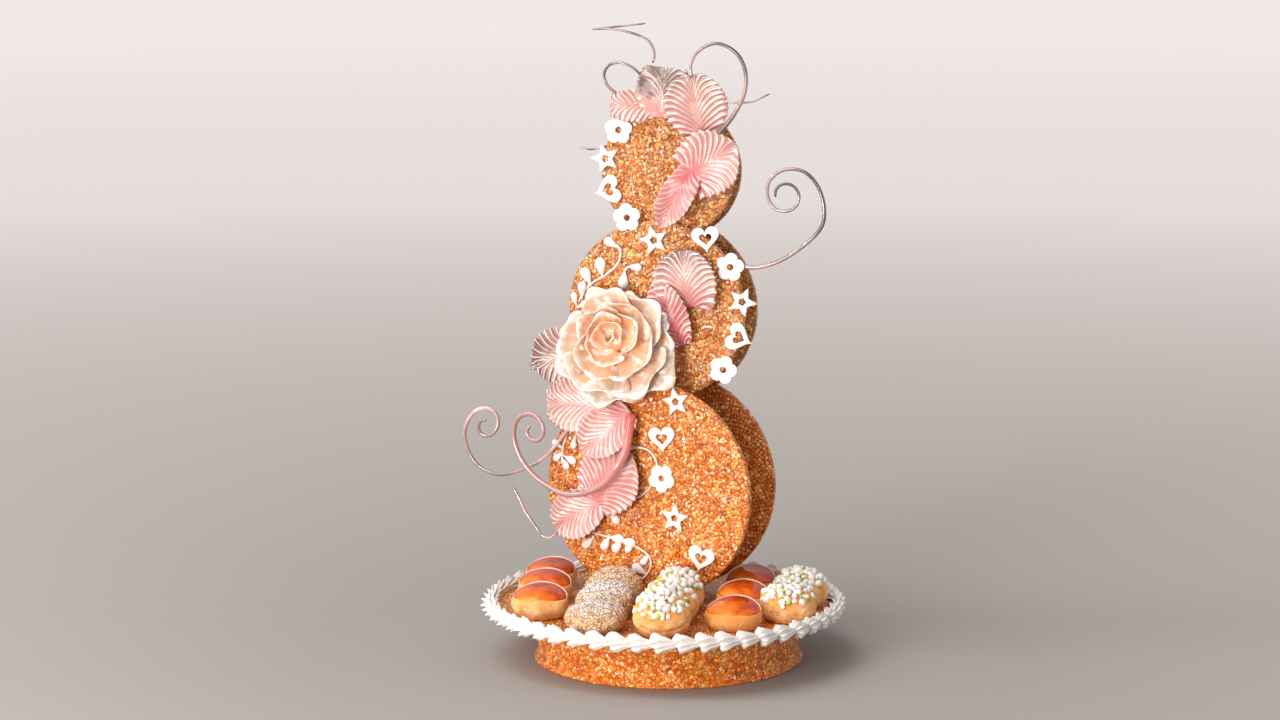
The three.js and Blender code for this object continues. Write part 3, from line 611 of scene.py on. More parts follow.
def heart_line(scale, count):
    """The closed line of a heart, from the well-known curve of cosines."""
    line = []
    for t in full_turn(count) + math.pi / count:
        y = 13 * math.cos(t) - 5 * math.cos(2 * t) - 2 * math.cos(3 * t) - math.cos(4 * t)
        line.append((-(math.sin(t) ** 3) * scale, (y + 2.5) / 16 * scale))
    return line


def polar_line(count, radius_at):
    """A closed line round the origin. radius_at takes the angle from the top."""
    return [
        (radius_at(a) * math.cos(a + math.pi / 2), radius_at(a) * math.sin(a + math.pi / 2))
        for a in full_turn(count)
    ]


def motif_lines(kind):
    """The outline of a motif and the hole in its middle."""
    reach = MOTIF["size"] / 2
    if kind == "heart":
        return [heart_line(reach, 56), heart_line(reach * 0.46, 32)]
    if kind == "blossom":
        petals = polar_line(80, lambda a: reach * (0.76 + 0.25 * abs(math.sin(2.5 * a)) ** 0.7))
        return [petals, polar_line(24, lambda a: reach * 0.24)]
    points = polar_line(10, lambda a: reach * (0.5 if round(a / (math.pi / 5)) % 2 else 1.08))
    return [points, polar_line(5, lambda a: reach * 0.3)]


def cut_out(kind):
    """A motif that lies in the XZ plane with its back at y = 0, as points and faces."""
    curve = bpy.data.curves.new("cut_out", "CURVE")
    curve.dimensions = "2D"
    curve.fill_mode = "BOTH"
    curve.extrude = (MOTIF["thickness"] / 2 - MOTIF["bevel"]) * MM
    curve.bevel_depth = MOTIF["bevel"] * MM
    curve.bevel_resolution = 2
    curve.offset = -MOTIF["bevel"] * MM
    for line in motif_lines(kind):
        stretch = curve.splines.new("POLY")
        stretch.points.add(len(line) - 1)
        for spot, (x, z) in zip(stretch.points, line):
            spot.co = (x * MM, z * MM, 0, 1)
        stretch.use_cyclic_u = True
    holder = put_in_scene("cut_out", curve)
    mesh = holder.evaluated_get(bpy.context.evaluated_depsgraph_get()).to_mesh()
    x, z, y = (np.array([v.co for v in mesh.vertices]) / MM).T
    faces = [tuple(p.vertices) for p in mesh.polygons]
    bpy.data.objects.remove(holder)
    return np.column_stack([x, -y - MOTIF["thickness"] / 2, z]), faces


def motif_places():
    """Tier, x, z and lean of each motif, from the top of the row to its foot."""
    places = []
    for i in range(4):
        a = math.radians(112 + 28.5 * i)
        places.append(("top", 54.5 * math.cos(a), 54.5 * math.sin(a), 20 + 18 * i))
    places += [("mid", -25, 79, 30), ("mid", -1.5, 60.5, -15)]
    for i in range(5):
        a = math.radians(55 - 23.5 * i)
        places.append(("mid", 76 * math.cos(a), 76 * math.sin(a), -8 - 20 * i))
    for i in range(5):
        z = 79 - 33.5 * i
        places.append(("low", 13 + 0.0055 * (z - 28) ** 2, z, -12 + 6 * i))
    return places


KINDS = ("heart", "blossom", "star")
cut_outs = {kind: cut_out(kind) for kind in KINDS}
for i, (tier, x, z, lean) in enumerate(motif_places()):
    kind = KINDS[i % 3]
    points, faces = cut_outs[kind]
    points = turned_to(points, lean, Z, X) + [x, -MOTIF_GAP, z]
    shells = [(points, faces, pastillage, False)]
    number = f"{kind}_{i + 1:02d}"
    make_piece(number, shells, [f"motif_{number}"], in_tier(tier))
print("motifs:", i + 1)

# %% [markdown]
# ## Piped sprigs
# The sprigs are royal icing from a plain nozzle: a thin cord for the stem, and drops that start
# at it as a point and end round. On a face they sag flat, so a drop is a rod with teardrop radii
# that is squeezed towards the face.

# %% Piped sprigs
CORD_WIDTH = 1.9
# Each sprig: its tier, the (x, z) points of its cords, and its drops as x, z, length and angle.
SPRIGS = {
    "sprig_mid_left": ("mid",
        [[(-35, 56), (-31, 51), (-33, 40), (-44, 29.5), (-56, 22), (-65, 12), (-68, 5)]],
        [(-33, 53, 14, 148), (-47, 27.5, 17, 98), (-57, 20.5, 16, 115), (-65, 9, 14, 88),
         (-70, 3, 11, 105), (-69, 1, 15, 20)]),
    "sprig_mid_rose": ("mid",
        [[(-28, 20), (-29, 28), (-26, 35), (-20, 38.5), (-17, 38)]],
        [(-24, 37, 12, -2), (-27, 34, 16, 262)]),
    "sprig_low_left": ("low",
        [[(-66, 46), (-67.5, 40), (-67, 33)], [(-73, 50), (-76, 42), (-79, 34), (-80, 26),
          (-81, 17)]],
        [(-68, 42, 11, 262), (-80, 31, 11, 150), (-80, 27, 11, 222), (-80, 22, 11, 300),
         (-78.5, 24, 13, 338)]),
    "sprig_low_loop": ("low",
        [[(-18.9, 30.3), (-15.4, 35), (-7.2, 36.9), (2.4, 34.5), (8.6, 26.8), (9.3, 16.8),
          (6.5, 8.9), (-0.3, -0.5), (-11.3, -7.8), (-20, -10.5)]],
        [(-35, -20, 14, -52)]),
    "sprig_low_foot": ("low",
        [[(-56, -40), (-42, -42.5), (-30, -44.5), (-20, -46), (-12, -49), (-5, -52), (1, -56),
          (4, -62), (3, -68), (0, -73), (-5, -78)]],
        [(-59, -41, 11, 215), (-50, -45, 14, 222), (-35, -43, 14, 240), (-23, -45, 14, 232),
         (-12, -47, 11, 225), (-36, -43.5, 15, -5), (-25, -45, 15, -10), (2, -56, 11, 232),
         (0, -73, 15, 152)]),
}


def piped_cord(points):
    """A cord that lies on the face and gets thinner to its end."""
    path = [(x, -CORD_WIDTH / 2, z) for x, z in points]
    line = spline(path, 8 * len(path))
    return rod(line, rounded(np.linspace(1.05, 0.8, len(line)) * CORD_WIDTH / 2), 10)


def piped_drop(x, z, length, angle):
    """A drop that starts as a point on the cord and ends round."""
    a = math.radians(angle)
    share = np.linspace(-0.06, 1, 15)
    swell = np.sin(np.pi * np.clip(share, 0.02, 0.985) ** 1.9)
    girth = 0.29 * length * np.sqrt(np.clip(swell, 0.01, 1))
    girth = np.maximum(girth, CORD_WIDTH * 0.35 * (share < 0.3))
    along = np.array([math.cos(a), 0, math.sin(a)]) * length
    return rod(np.array([x, -1.4, z]) + share[:, None] * along, girth, 14, flat=0.55)


for name, (tier, cords, drops) in SPRIGS.items():
    forms = [piped_cord(points) for points in cords] + [piped_drop(*drop) for drop in drops]
    shells = [(*form, royal_icing, True) for form in forms]
    piece = name.replace("sprig", "icing_sprig")
    make_piece(piece, shells, [name], in_tier(tier))
print("sprigs:", len(SPRIGS))

# %% [markdown]
# ## Pulled-sugar leaves
# Boiled sugar that is pulled and folded while hot traps fine layers of air, which gives it the
# sheen of satin and streaks of a paler and a deeper pink along the strands. The sheen is painted on
# as silvery patches, a painted highlight. A leaf is pulled out thin and pressed in a mould with
# deep veins. So the sheet has arched ridges that run from the midrib to a toothed edge, and its
# finish has a low roughness under a clear coat, pale lines on the ridges as painted highlights and
# deeper tones between them as painted shade.

# %% Pink satin sugar
def satin_sugar(name, tints, highlight_tone, groove_shade_tone, line_width, lines=1.0, strands=1.7,
                relief_depth=0.6, painted_sheen=0.2, body=None):
    """Pulled sugar, with painted highlights as pale lines on the ridges and as silvery patches, and
    painted shade in the grooves between the lines. A piece stores its tint, as "vein" a value that
    rises by 1 from line to line, and as "outwards" 0 where the lines fade out and 1 where they are
    strong."""
    finish, shader, add, _ = start_finish(name, {
        "Roughness": 0.2, "IOR": 1.5, "Coat Weight": 1.0, "Coat Roughness": 0.06,
        "Subsurface Weight": 0.2, "Subsurface Radius": (0.006, 0.003, 0.0025), **(body or {}),
    })
    tint, vein, outwards = (
        add("Attribute", attribute_name=key).outputs["Fac"] for key in ("tint", "vein", "outwards")
    )
    streaks = add("TexNoise", {"W": vein, "Scale": strands, "Detail": 3}, noise_dimensions="1D")
    shifted = add("Math", [streaks, 0.5, tint], operation="MULTIPLY_ADD")
    body = add("ValToRGB", [shifted], stops=tints)
    away = add("Math", [vein, 0.5], operation="PINGPONG")  # 0 on a line, 0.5 between two
    gloss = add("TexNoise", {"Detail": 2}, size=9)
    patchy = add("MapRange", [gloss, 0.36, 0.58, 0.45 * lines, lines])
    strength = add("MapRange", [outwards, 0.05, 0.6, 0, patchy])
    smooth = {"interpolation_type": "SMOOTHSTEP"}
    # Painted shade darkens the grooves between the lines, and a painted highlight makes a pale line
    # on each ridge. The lines also raise the bump.
    shade_in_grooves = add("MapRange", [away, 0.3, 0.5, 0, strength], **smooth)
    line = add("MapRange", [away, 0, line_width, strength, 0], **smooth)
    # Painted sheen: silvery patches where the gloss noise is high.
    sheen_patches = add("MapRange", [gloss, 0.53, 0.63, 0, painted_sheen])
    with_sheen = add("Mix", [sheen_patches, body, highlight_tone])
    grooves_shaded = add("Mix", [shade_in_grooves, with_sheen, groove_shade_tone])
    pulled = add("Math", [streaks, 0.9, line], operation="MULTIPLY_ADD")
    relief = {"Height": pulled, "Strength": 0.8, "Distance": relief_depth * MM}
    feed(shader, {
        "Base Color": add("Mix", [line, grooves_shaded, highlight_tone]),
        "Normal": add("Bump", relief),
    })
    return finish


# The grey-brown end of this ramp is painted shade. The tints of the upper leaf at the top left and
# of the leaf on the middle tier's left run into it towards their tips.
PINKS = [(0.2, "#BE5059"), (0.4, "#CE7474"), (0.62, "#D5948E"), (0.8, "#C9998F"), (1.0, "#785C56")]
pink_sugar = satin_sugar("pulled_sugar_pink_satin", PINKS, "#FFFAF8", "#BC7A76", line_width=0.14)
print("pink sugar is ready:", pink_sugar.name)

# %% Leaves
LEAF = {"thickness": 1.5, "bluntness": 0.12, "ripple": 1.0, "sweep": 0.12}
VEIN = {"spacing": 4.9, "relief": 1.3, "rise": 0.5, "droop": 0.22, "tooth": 0.07}
LEAF_ROWS, LEAF_COLUMNS = 86, 42
# Each cluster: its tier, the (x, z) and reach of the dab of sugar that holds it, and its leaves.
LEAVES = {
    "leaves_top_left": ("top", (-5, 51, 5), [
        dict(base=(-6, -4.2, 56), tip=(-48.5, -5, 55.5), width=27, bow=2, cup=1, tint=(0.4, 0.6),
             square=0.8),
        dict(base=(-5, -6.6, 46), tip=(0, -7.4, 88), width=46, bow=1.5, cup=1, tint=(0.3, 1.25),
             square=0.95, plain=-1),
    ]),
    "leaf_top_middle": ("top", (30, 36, 4.4), [
        dict(base=(29, -3.8, 33), tip=(23, -14, 83), width=55, bow=2, cup=1, tint=(0.4, 0.68),
             square=0.3),
    ]),
    "leaves_top_right": ("top", (24, 3, 9), [
        dict(base=(21, -7.5, -2), tip=(60, -11, 26), width=55, bow=5, tint=(0.25, 0.5), blunt=0.5,
             heel=5),
        dict(base=(24, -7.5, 6), tip=(-4, -13.5, -46), width=29, bow=5, tint=(0.2, 0.35),
             lined=0.45),
    ]),
    "leaves_mid_right": ("mid", (28, 9, 5), [
        dict(base=(30, -3.8, 5), tip=(25, -6, 53), width=54, bow=4, tint=(0.25, 0.8), blunt=0.5,
             heel=5, square=0.3),
        dict(base=(24, -4, -28), tip=(2, -8, 29), width=33, bow=3, tint=(0.05, 0.35)),
    ]),
    "leaf_mid_left": ("mid", (-64, -33, 5), [
        dict(base=(-61, -4, -32), tip=(-110, -6, -51), width=50, bow=2, tint=(0.5, 0.85),
             square=-0.45),
    ]),
    "leaves_low_upper": ("low", (-36, 68, 6), [
        dict(base=(-32, -5, 73), tip=(-91, -8, 70), width=48, bow=3, tint=(0.35, 0.65),
             square=0.5),
        dict(base=(-14, -5, 69), tip=(-56, -12, 31), width=42, bow=3, tint=(0.3, 0.5)),
    ]),
    "leaves_low_middle": ("low", (-47, -12, 5.4), [
        dict(base=(-49, -4.4, -15), tip=(-13, -5.5, 33), width=58, bow=3, tint=(0.3, 0.5)),
        dict(base=(-43, -4.4, -11), tip=(-85, -6, -38), width=42, bow=3, tint=(0.35, 0.6),
             square=0.3),
    ]),
}


def leaf(base, tip, width, tint, bow=4, cup=3, square=0.0, blunt=LEAF["bluntness"], heel=0.0,
         plain=0, lined=1.0):
    """A leaf with the values that its finish reads. plain is the side, -1 or 1, that the mould
    left smooth."""
    start = np.array(base, float)
    along = np.array(tip, float) - start
    length = np.linalg.norm(along)
    across = np.cross(along, [0, -1, 0])
    across /= np.linalg.norm(across)
    normal = np.cross(across, along)
    normal /= np.linalg.norm(normal)
    shares = np.linspace(0, 1, LEAF_ROWS), np.linspace(-1, 1, LEAF_COLUMNS)
    u, v = np.meshgrid(*shares, indexing="ij")
    v = v * (0.45 + 0.55 * np.abs(v))
    far = np.abs(v)
    arch = np.sin(np.pi * u)
    fullness = np.sin(np.pi * np.minimum(0.985, 0.06 + 0.94 * u) ** 0.8) ** 0.7
    fullness = np.where(u > 0.5, fullness + square * (1 - fullness) * 0.8, fullness)
    fullness = np.where(u < 0.4, fullness + blunt * (1 - fullness), fullness)
    half = width / 2 * np.maximum(LEAF["bluntness"], fullness)
    fan = VEIN["rise"] * far**0.62 - VEIN["droop"] * far**2.4
    shake = 0.25 * np.sin(5.1 * v + 7 * u + width) * far
    vein = (u * length - fan * width) / VEIN["spacing"] + 0.17 * np.sign(v) + shake
    crest = 1 - np.abs(np.sin(np.pi * vein)) ** 0.8
    pressed = lined * np.where(v * plain > 0, 0.12, 1.0)
    half = half * (1 + VEIN["tooth"] * (crest - 0.4) * far**8)
    lift = bow * arch + cup * v**2 * np.sqrt(arch.clip(0))
    lift = lift + LEAF["ripple"] * np.sin(9 * u + 2 * v) * far * arch
    lift = lift + VEIN["relief"] * pressed * crest * np.minimum(1, 0.3 + 2 * far)
    up = u + LEAF["sweep"] * v**2 * arch - heel / length * v**2 * (1 - u) ** 3
    middle = start + along * up[..., None] + across * (v * half)[..., None]
    middle = middle + normal * lift[..., None]
    thickness = LEAF["thickness"] * (1 - 0.45 * np.maximum(far, np.abs(2 * u - 1)) ** 4)
    # Past about 0.8 the tint runs into the grey-brown of the ramp, which is painted shade.
    shade = tint[0] + (tint[1] - tint[0]) * u + 0.14 * far - 0.1
    return sheet(middle, thickness, pink_sugar, vein=vein, tint=shade, outwards=far * pressed)


for name, (tier, (x, z, reach), leaves) in LEAVES.items():
    shells = [leaf(**values) for values in leaves]
    path = [(x, -0.2, z), (x, -0.6, z), (x, -reach / 2, z), (x, 0.6 - reach, z)]
    points, faces = rod(path, [3.2, 3.4, 3.8, 4.4], 16, side_hint=(0, 0, 1))
    shells.append((points, faces, pink_sugar, True, {"tint": np.full(len(points), 0.3)}))
    piece = name.replace("lea", "sugar_lea")
    make_piece(piece, shells, [name], in_tier(tier))
print("triangles in a leaf:", (LEAF_ROWS - 1) * (LEAF_COLUMNS - 1) * 4)

# %% [markdown]
# ## Sugar rose
# Rose petals are pulled thin from a satin lump, cupped over a thumb and rolled back at the rim,
# then stuck in layers round a bud. The outer ones are nearly white, and the heart is peach because
# light goes through many layers there. Each petal is one curved sheet. Its colour is painted from
# how deep it sits in the rose, as painted light for the glow of the heart, and the last tenth of
# its rim is painted paler as a highlight. Broad silvery patches of painted sheen lie over it, with
# white lines along it as painted highlights and greyish tones between them as painted shade.

# %% Rose
ROSE = {"place": (-30, -8.2, -28), "lean": 12, "thickness": 1.3, "foot": 4.0}
PEACHES = [(0.1, "#F6AC78"), (0.3, "#F5BC8E"), (0.6, "#EEC4A0"), (1.0, "#DCC9B8")]
PETAL_POINTS = 31
rose_sugar = satin_sugar(
    "pulled_sugar_peach_satin", PEACHES, "#FFFFFF", "#DCB498", line_width=0.25, lines=0.5,
    strands=0.9, relief_depth=0.35, painted_sheen=0.8,
    body={"Roughness": 0.1, "IOR": 1.65, "Subsurface Weight": 0.7,
          "Subsurface Radius": (0.02, 0.013, 0.01)},
)

# Each layer: the petals as (bearing, reach), the height of the rim and of the foot, half the width
# in degrees, how far the rim rolls out, how full the belly is, and how far the layer's middle is
# moved across and up. The heart of this rose sits a little to the upper left.
ROSE_LAYERS = [
    {"petals": [(4, 47), (50, 43), (108, 43), (160, 43), (213, 50), (263, 51), (318, 52)],
     "rise": 13, "base": 1, "spread": 37, "roll": 3.4, "belly": 0.85, "shift": (0, 0)},
    {"petals": [(28, 41), (102, 40), (176, 43), (243, 46), (307, 47)],
     "rise": 20, "base": 3, "spread": 49, "roll": 2.6, "belly": 0.8, "shift": (0, 1)},
    {"petals": [(62, 32), (142, 29), (222, 33), (328, 35)],
     "rise": 25, "base": 6, "spread": 60, "roll": 1.6, "belly": 0.66, "shift": (-1, 2)},
    {"petals": [(10, 23), (125, 20), (245, 22)],
     "rise": 26, "base": 10, "spread": 66, "roll": 1.4, "belly": 0.6, "shift": (-3, 3)},
    {"petals": [(60, 12.5), (215, 12)],
     "rise": 27, "base": 14, "spread": 84, "roll": 1.2, "belly": 0.5, "shift": (-5, 4)},
    {"petals": [(340, 6)],
     "rise": 26, "base": 18, "spread": 80, "roll": 0.8, "belly": 0.4, "shift": (-6, 4)},
]


def petal(layer, bearing, reach):
    """A cupped petal about the rose's own axis, +Z, whose wavy rim rolls outwards."""
    shares = np.linspace(0, 1, PETAL_POINTS), np.linspace(-1, 1, PETAL_POINTS)
    u, v = np.meshgrid(*shares, indexing="ij")
    phase = bearing * 0.37 + reach
    wave = np.sin(3.7 * v + phase) + 0.7 * np.sin(7.5 * v - phase)
    shoulder = 1.05 - 0.2 * np.abs(v - 0.3 * math.sin(phase)) ** 1.3 + 0.05 * v
    foot, base, roll = ROSE["foot"], layer["base"], layer["roll"]
    radius = foot + (reach * shoulder - foot) * np.sin(np.pi / 2 * u) ** layer["belly"]
    height = base + (layer["rise"] * (1 - 0.16 * v**2) - base) * u**1.35
    rim = np.clip((u - 0.78) / 0.22, 0, 1)
    radius = radius + roll * rim**1.5 * (1 + 0.5 * wave) + 0.035 * reach * wave * u**3
    height = height - roll * 0.9 * rim**2.5 + 0.03 * reach * np.cos(5 * v + phase) * u**2
    spread = np.radians(layer["spread"]) * v * (0.62 + 0.38 * np.sin(np.pi * u * 0.62))
    middle = about_axis(radius, math.radians(bearing) + spread, height) + [*layer["shift"], 0]
    # The tint is painted light: a deeper peach towards the heart, where light passes through many
    # layers, and paler on the last tenth of the rim as a painted highlight.
    tint = np.clip(radius / 56 * (0.35 + 0.65 * u) + 0.3 * np.clip(10 * u - 9, 0, 1), 0, 1)
    vein = 3.4 * v + 0.4 * wave * u + phase
    thickness = ROSE["thickness"] * (1 - 0.55 * u**3)
    return sheet(middle, thickness, rose_sugar, vein=vein, tint=tint, outwards=0.15 + 0.4 * u)


def lay_rose(points):
    """From the rose's own frame, whose axis is +Z, to its place on the middle tier."""
    return in_tier("mid")(turned_to(points, 90 - ROSE["lean"], Y, Z) + ROSE["place"])


shells = [petal(layer, *spot) for layer in ROSE_LAYERS for spot in layer["petals"]]
bud = spline([(0, -7), (4.2, -7), (7, 0), (7, 9), (5, 16), (3, 20), (0, 22)], 30)
shells.append((*turned(bud, 28), rose_sugar, True))
make_piece("rose_of_sugar", shells, ["sugar_rose"], lay_rose)
print("petals:", len(shells) - 1)

# %% [markdown]
# ## Sugar curls
# A curl is a strand of sugar pulled to a wire and wound round a stick while it is soft. It sets
# like coloured glass: smooth, with a sharp highlight along its whole length. Along the strand the
# tone swings between a dark rose grey and a near white, as painted shade and painted highlights on
# a strand that turns to and from the light. The thick ribbon starts coral and fades.

# %% Curls
def glass_sugar(name, tones, ior=1.6, coat=1.0, size=14, detail=2, cloudiness=0.6):
    """Clear coloured sugar, whose tone follows its stored tint and a soft cloud."""
    finish, shader, add, _ = start_finish(
        name, {"Roughness": 0.12, "IOR": ior, "Coat Weight": coat, "Coat Roughness": 0.04}
    )
    tint = add("Attribute", attribute_name="tint").outputs["Fac"]
    cloud = add("TexNoise", {"Detail": detail}, size=size)
    shifted = add("Math", [cloud, cloudiness, tint], operation="MULTIPLY_ADD")
    feed(shader, {"Base Color": add("ValToRGB", [shifted], stops=tones)})
    return finish


# The dark end and the near-white end of this ramp are painted shade and painted highlight, reached
# by the tone's swing along each strand.
GREYS = [(0.12, "#574947"), (0.35, "#8B7875"), (0.6, "#A88985"), (0.85, "#C9A9A4"), (1, "#F3E6E2")]
CORALS = [(0.3, "#E0605C"), (0.55, "#CC7C76"), (0.8, "#B07F7B"), (1.0, "#A08480")]
curl_sugar = glass_sugar("pulled_sugar_rose_grey_strand", GREYS)
coral_sugar = glass_sugar("pulled_sugar_coral_ribbon", CORALS)


def spiral(centre, start, radii, depth):
    """Points of a winding in the plane of a face, from its radii at every quarter turn."""
    quarters = np.arange(2 * len(radii) - 1) / 2
    radius = np.interp(quarters, range(len(radii)), radii)
    x, z, _ = about_axis(radius, np.radians(start + 90 * quarters)).T
    y = np.linspace(*depth, len(quarters))
    return list(zip(centre[0] + x, y, centre[1] + z))


CURL_SIDES = 14
CURL_FULLNESS = 1.12
# Each curl: its tier, its finish, and its strands as the points and the widths along them.
CURLS = {
    "curl_top_crown": ("top", curl_sugar, [
        ([(-12.15, -5, 91.4), (-10.3, -6.5, 100), (-14, -8, 109), (-22, -8, 114), (-35, -8, 118),
          (-48, -8, 119.7), (-63, -8, 119.5)], [2, 1.6]),
        ([(-63, -8, 119.6), (-43.6, -7, 121.6), (-18, -6, 124.5)], [1.6, 1.2]),
    ]),
    "curl_top_left": ("top", curl_sugar, [
        ([(-42.5, -7.1, 65.5), (-50.2, -9, 72.8), (-52.7, -10, 81.6), (-48.8, -10.5, 89.2),
          (-39.8, -11, 92.1), (-32, -11, 90.1), (-25.6, -9, 85.7), (-20, -6.2, 79)], [2.4, 1.8]),
    ]),
    "curl_top_right": ("top", curl_sugar, [
        ([(23, -14.1, 80), (22.5, -15, 90.5), (26, -15, 99.3), (33.3, -16, 105.6),
          (43.5, -16, 109.2), (53.7, -16, 106.5), (62.6, -16.5, 99.8), (67.5, -17, 91),
          (69.5, -17, 81), (68.5, -17, 70), (64.1, -17, 58.6), (56.5, -16, 46.5), (46, -15, 34)],
          [2.0, 3.8]),
        ([(50, -15.5, 61.5), (62, -16.5, 60.5), (75, -17, 61.5), (89, -15, 68)], [1.8, 1.2]),
    ]),
    "curl_top_tendril": ("top", curl_sugar, [
        ([(-77, 2, 19.5), (-68, 2, 17.5), (-61, 2.5, 18.5), (-53.6, 2.5, 20.4)], [1.2, 1.6]),
    ]),
    "curl_mid_right": ("mid", curl_sugar, [
        ([(64.5, 2.5, 44.5), (78, 1, 40), (95.5, -1, 42)]
         + spiral((113, 102), -82, [48.5, 29, 21, 15, 13, 12, 10, 7.5], (-3, -13)), [3.4, 2.2]),
    ]),
    "curl_low_left": ("low", curl_sugar, [
        ([(-62, -3, 59), (-69.9, -3.4, 51.5), (-83.6, -3.8, 35.2), (-94.5, -4.6, 23),
          (-108.3, -5.4, 13.6), (-125, -6.2, 6.6), (-138.9, -7, 3.7), (-152.8, -7.8, 7.2),
          (-162.3, -8.5, 14.3), (-167.9, -9.3, 24.4), (-170.6, -10.1, 35.9),
          (-168.2, -10.9, 46.6), (-162.8, -11.7, 55.1), (-154.8, -12.5, 61.2),
          (-146.2, -13.3, 62.5), (-139, -14.1, 59.6), (-135.3, -14.9, 53.6),
          (-136.1, -15.7, 45.9), (-140.4, -16.5, 40.6), (-146, -17.2, 39), (-150.6, -18, 41.4),
          (-152.3, -18.8, 46.8), (-149.2, -19.6, 52), (-143.5, -20.4, 53.5)],
         [3.4, 2.9, 2.7, 2.9, 3.2, 3.3, 2.6]),
    ]),
    "curl_low_ribbon": ("low", coral_sugar, [
        ([(-11.5, -5, 66.5), (-12.5, -8, 60), (-12.5, -11, 50.4), (-14, -15, 34.7),
          (-19.8, -18, 22.4), (-29.2, -18.5, 9.1), (-41.5, -18.7, 0.5), (-55.4, -18.8, -4.5),
          (-69.2, -19, -5.6), (-83.1, -19.2, -0.6), (-95.6, -19.3, 6.3), (-106.7, -19.5, 16.9),
          (-113.6, -19.7, 27.9), (-117.4, -19.8, 41.7), (-116.1, -20, 52), (-110.3, -20.2, 59.8),
          (-101.8, -20.3, 62), (-93.3, -20.5, 58.9), (-88.6, -20.7, 51), (-89.3, -20.8, 44),
          (-94.6, -21, 39.2), (-101.2, -21.2, 41.2), (-103.9, -21.3, 46.8), (-101, -21.5, 52)],
          [6.8, 6.8, 6, 4.4, 4.2, 4.1, 4, 3.8, 3.4, 2.6]),
    ]),
    "curl_low_tip": ("low", curl_sugar, [
        ([(-81.5, -6, -40.5), (-86.3, -6.2, -46), (-90.4, -6.5, -48.2), (-95.2, -6.8, -47.6),
          (-100.4, -7, -42.7), (-106.2, -7.2, -35.5), (-113.1, -7.5, -26.3),
          (-118.6, -7.8, -15.8), (-125.3, -8, -4.7)], [2.4, 1.8, 2.4, 2.6, 1.8]),
    ]),
}
for name, (tier, finish, strands) in CURLS.items():
    pinker = 0.25 if tier == "low" else 0.0
    shells = []
    for path, widths in strands:
        line = spline(path, 14 * len(path))
        share = np.linspace(0, 1, len(line))
        width = np.interp(share, np.linspace(0, 1, len(widths)), widths)
        points, faces = rod(line, rounded(width / 2 * CURL_FULLNESS), CURL_SIDES)
        # Painted shade and painted highlights: the tone swings between dark grey and near white
        # along the strand.
        tint = 0.26 * np.sin(11 * share) + pinker
        if finish is coral_sugar:
            tint = np.minimum(1.6 * share, 0.65)
        shells.append((points, faces, finish, True, {"tint": np.repeat(tint, CURL_SIDES)}))
    make_piece(name.replace("curl", "sugar_curl"), shells, [name], in_tier(tier))
print("curls:", len(CURLS))

# %% [markdown]
# ## Choux pastry, caramel, craquelin and sugar
# A choux bun swells in the oven into a golden, floury crust. The caramel buns are dipped in hot
# caramel and set upside down, which leaves a flat shiny cap, ragged in front and with a thin lip
# round the back. The craquelin buns bake under a disc of sweet dough that cracks into small
# plates, and icing sugar falls on them. The pearl buns carry nibs of white sugar and bits of
# pistachio.

# %% Finishes of the buns
choux, shader, add, _ = start_finish("choux_pastry_baked_golden", {"Roughness": 0.68, "IOR": 1.45})
patches = add("TexNoise", {"Detail": 5, "Roughness": 0.6}, size=11)
crust = add("ValToRGB", [patches], stops=[(0.3, "#CD8B42"), (0.46, "#E6AC68"), (0.64, "#F6CF9C")])
specks = add("TexNoise", {"Detail": 2}, size=1.1)
speck = add("MapRange", [specks, 0.54, 0.68])
speckled = add("Mix", [speck, crust, "#A96A30"])
brushed = add("Attribute", attribute_name="tint").outputs["Fac"]
feed(shader, {
    "Base Color": add("Mix", [brushed, speckled, "#E08A38"]),
    "Normal": add("Bump", {"Height": specks, "Strength": 0.8, "Distance": 0.45 * MM}),
})

BROWNS = [(0.2, "#EE9032"), (0.4, "#DC6314"), (0.58, "#B23A0A"), (0.8, "#741E08")]
caramel_cap = glass_sugar("caramel_glaze_set_like_glass", BROWNS, 1.33, 0.25, 9, 3, 0.55)
caramel_lip, *_ = start_finish(
    "caramel_lip_thin_and_clear", {"Base Color": "#F2CDBD", "Roughness": 0.15, "Coat Weight": 0.8}
)

craquelin, shader, add, point = start_finish(
    "craquelin_cracked_with_icing_sugar", {"Roughness": 0.85}
)
crumbs = add("TexNoise", {"Detail": 4, "Roughness": 0.7}, size=2.4)
crumb = add("ValToRGB", [crumbs], stops=[(0.34, "#AE7848"), (0.46, "#E0B07E"), (0.62, "#F8DAB0")])
sugar = add("Attribute", attribute_name="height").outputs["Fac"]
grit = add("TexNoise", {"Detail": 3, "Roughness": 0.75}, size=1.3)
cover = add("MapRange", [add("Math", [sugar, grit], operation="ADD"), 0.86, 1.1])
dusted = add("Mix", [cover, crumb, "#EDEAEA"])
wavy = add("TexNoise", {"Detail": 2}, size=3)
bend = [wavy.outputs["Color"], (2.2 * MM,) * 3, point]
bent = add("VectorMath", bend, operation="MULTIPLY_ADD")
plates = add("TexVoronoi", {"Vector": bent}, size=2.8, feature="DISTANCE_TO_EDGE")
crack = add("MapRange", [plates, 0.02, 0.17, 0.95, 0])
feed(shader, {
    "Base Color": add("Mix", [crack, dusted, "#7E5A44"]),
    "Normal": add("Bump", {"Height": grit, "Strength": 1.0, "Distance": 0.8 * MM}),
})

pearl_sugar = fine_finish("pearl_sugar_nib_white", "#DDD9D5", 0.45, 1, 2, 0.4, 0.2)
GREENS = [(0.0, "#87982C"), (0.5, "#AEB43C"), (1.0, "#D8C35C")]
pistachio = bits_finish("pistachio_chopped_green", {"Roughness": 0.6}, GREENS)
print("finishes made:", len(bpy.data.materials))

# %% Bodies of the buns
FACING = 15.0  # the bearing in degrees that the rows of buns face
CHOU_SINK = 2.0  # how far a bun that leans is pressed into the plate
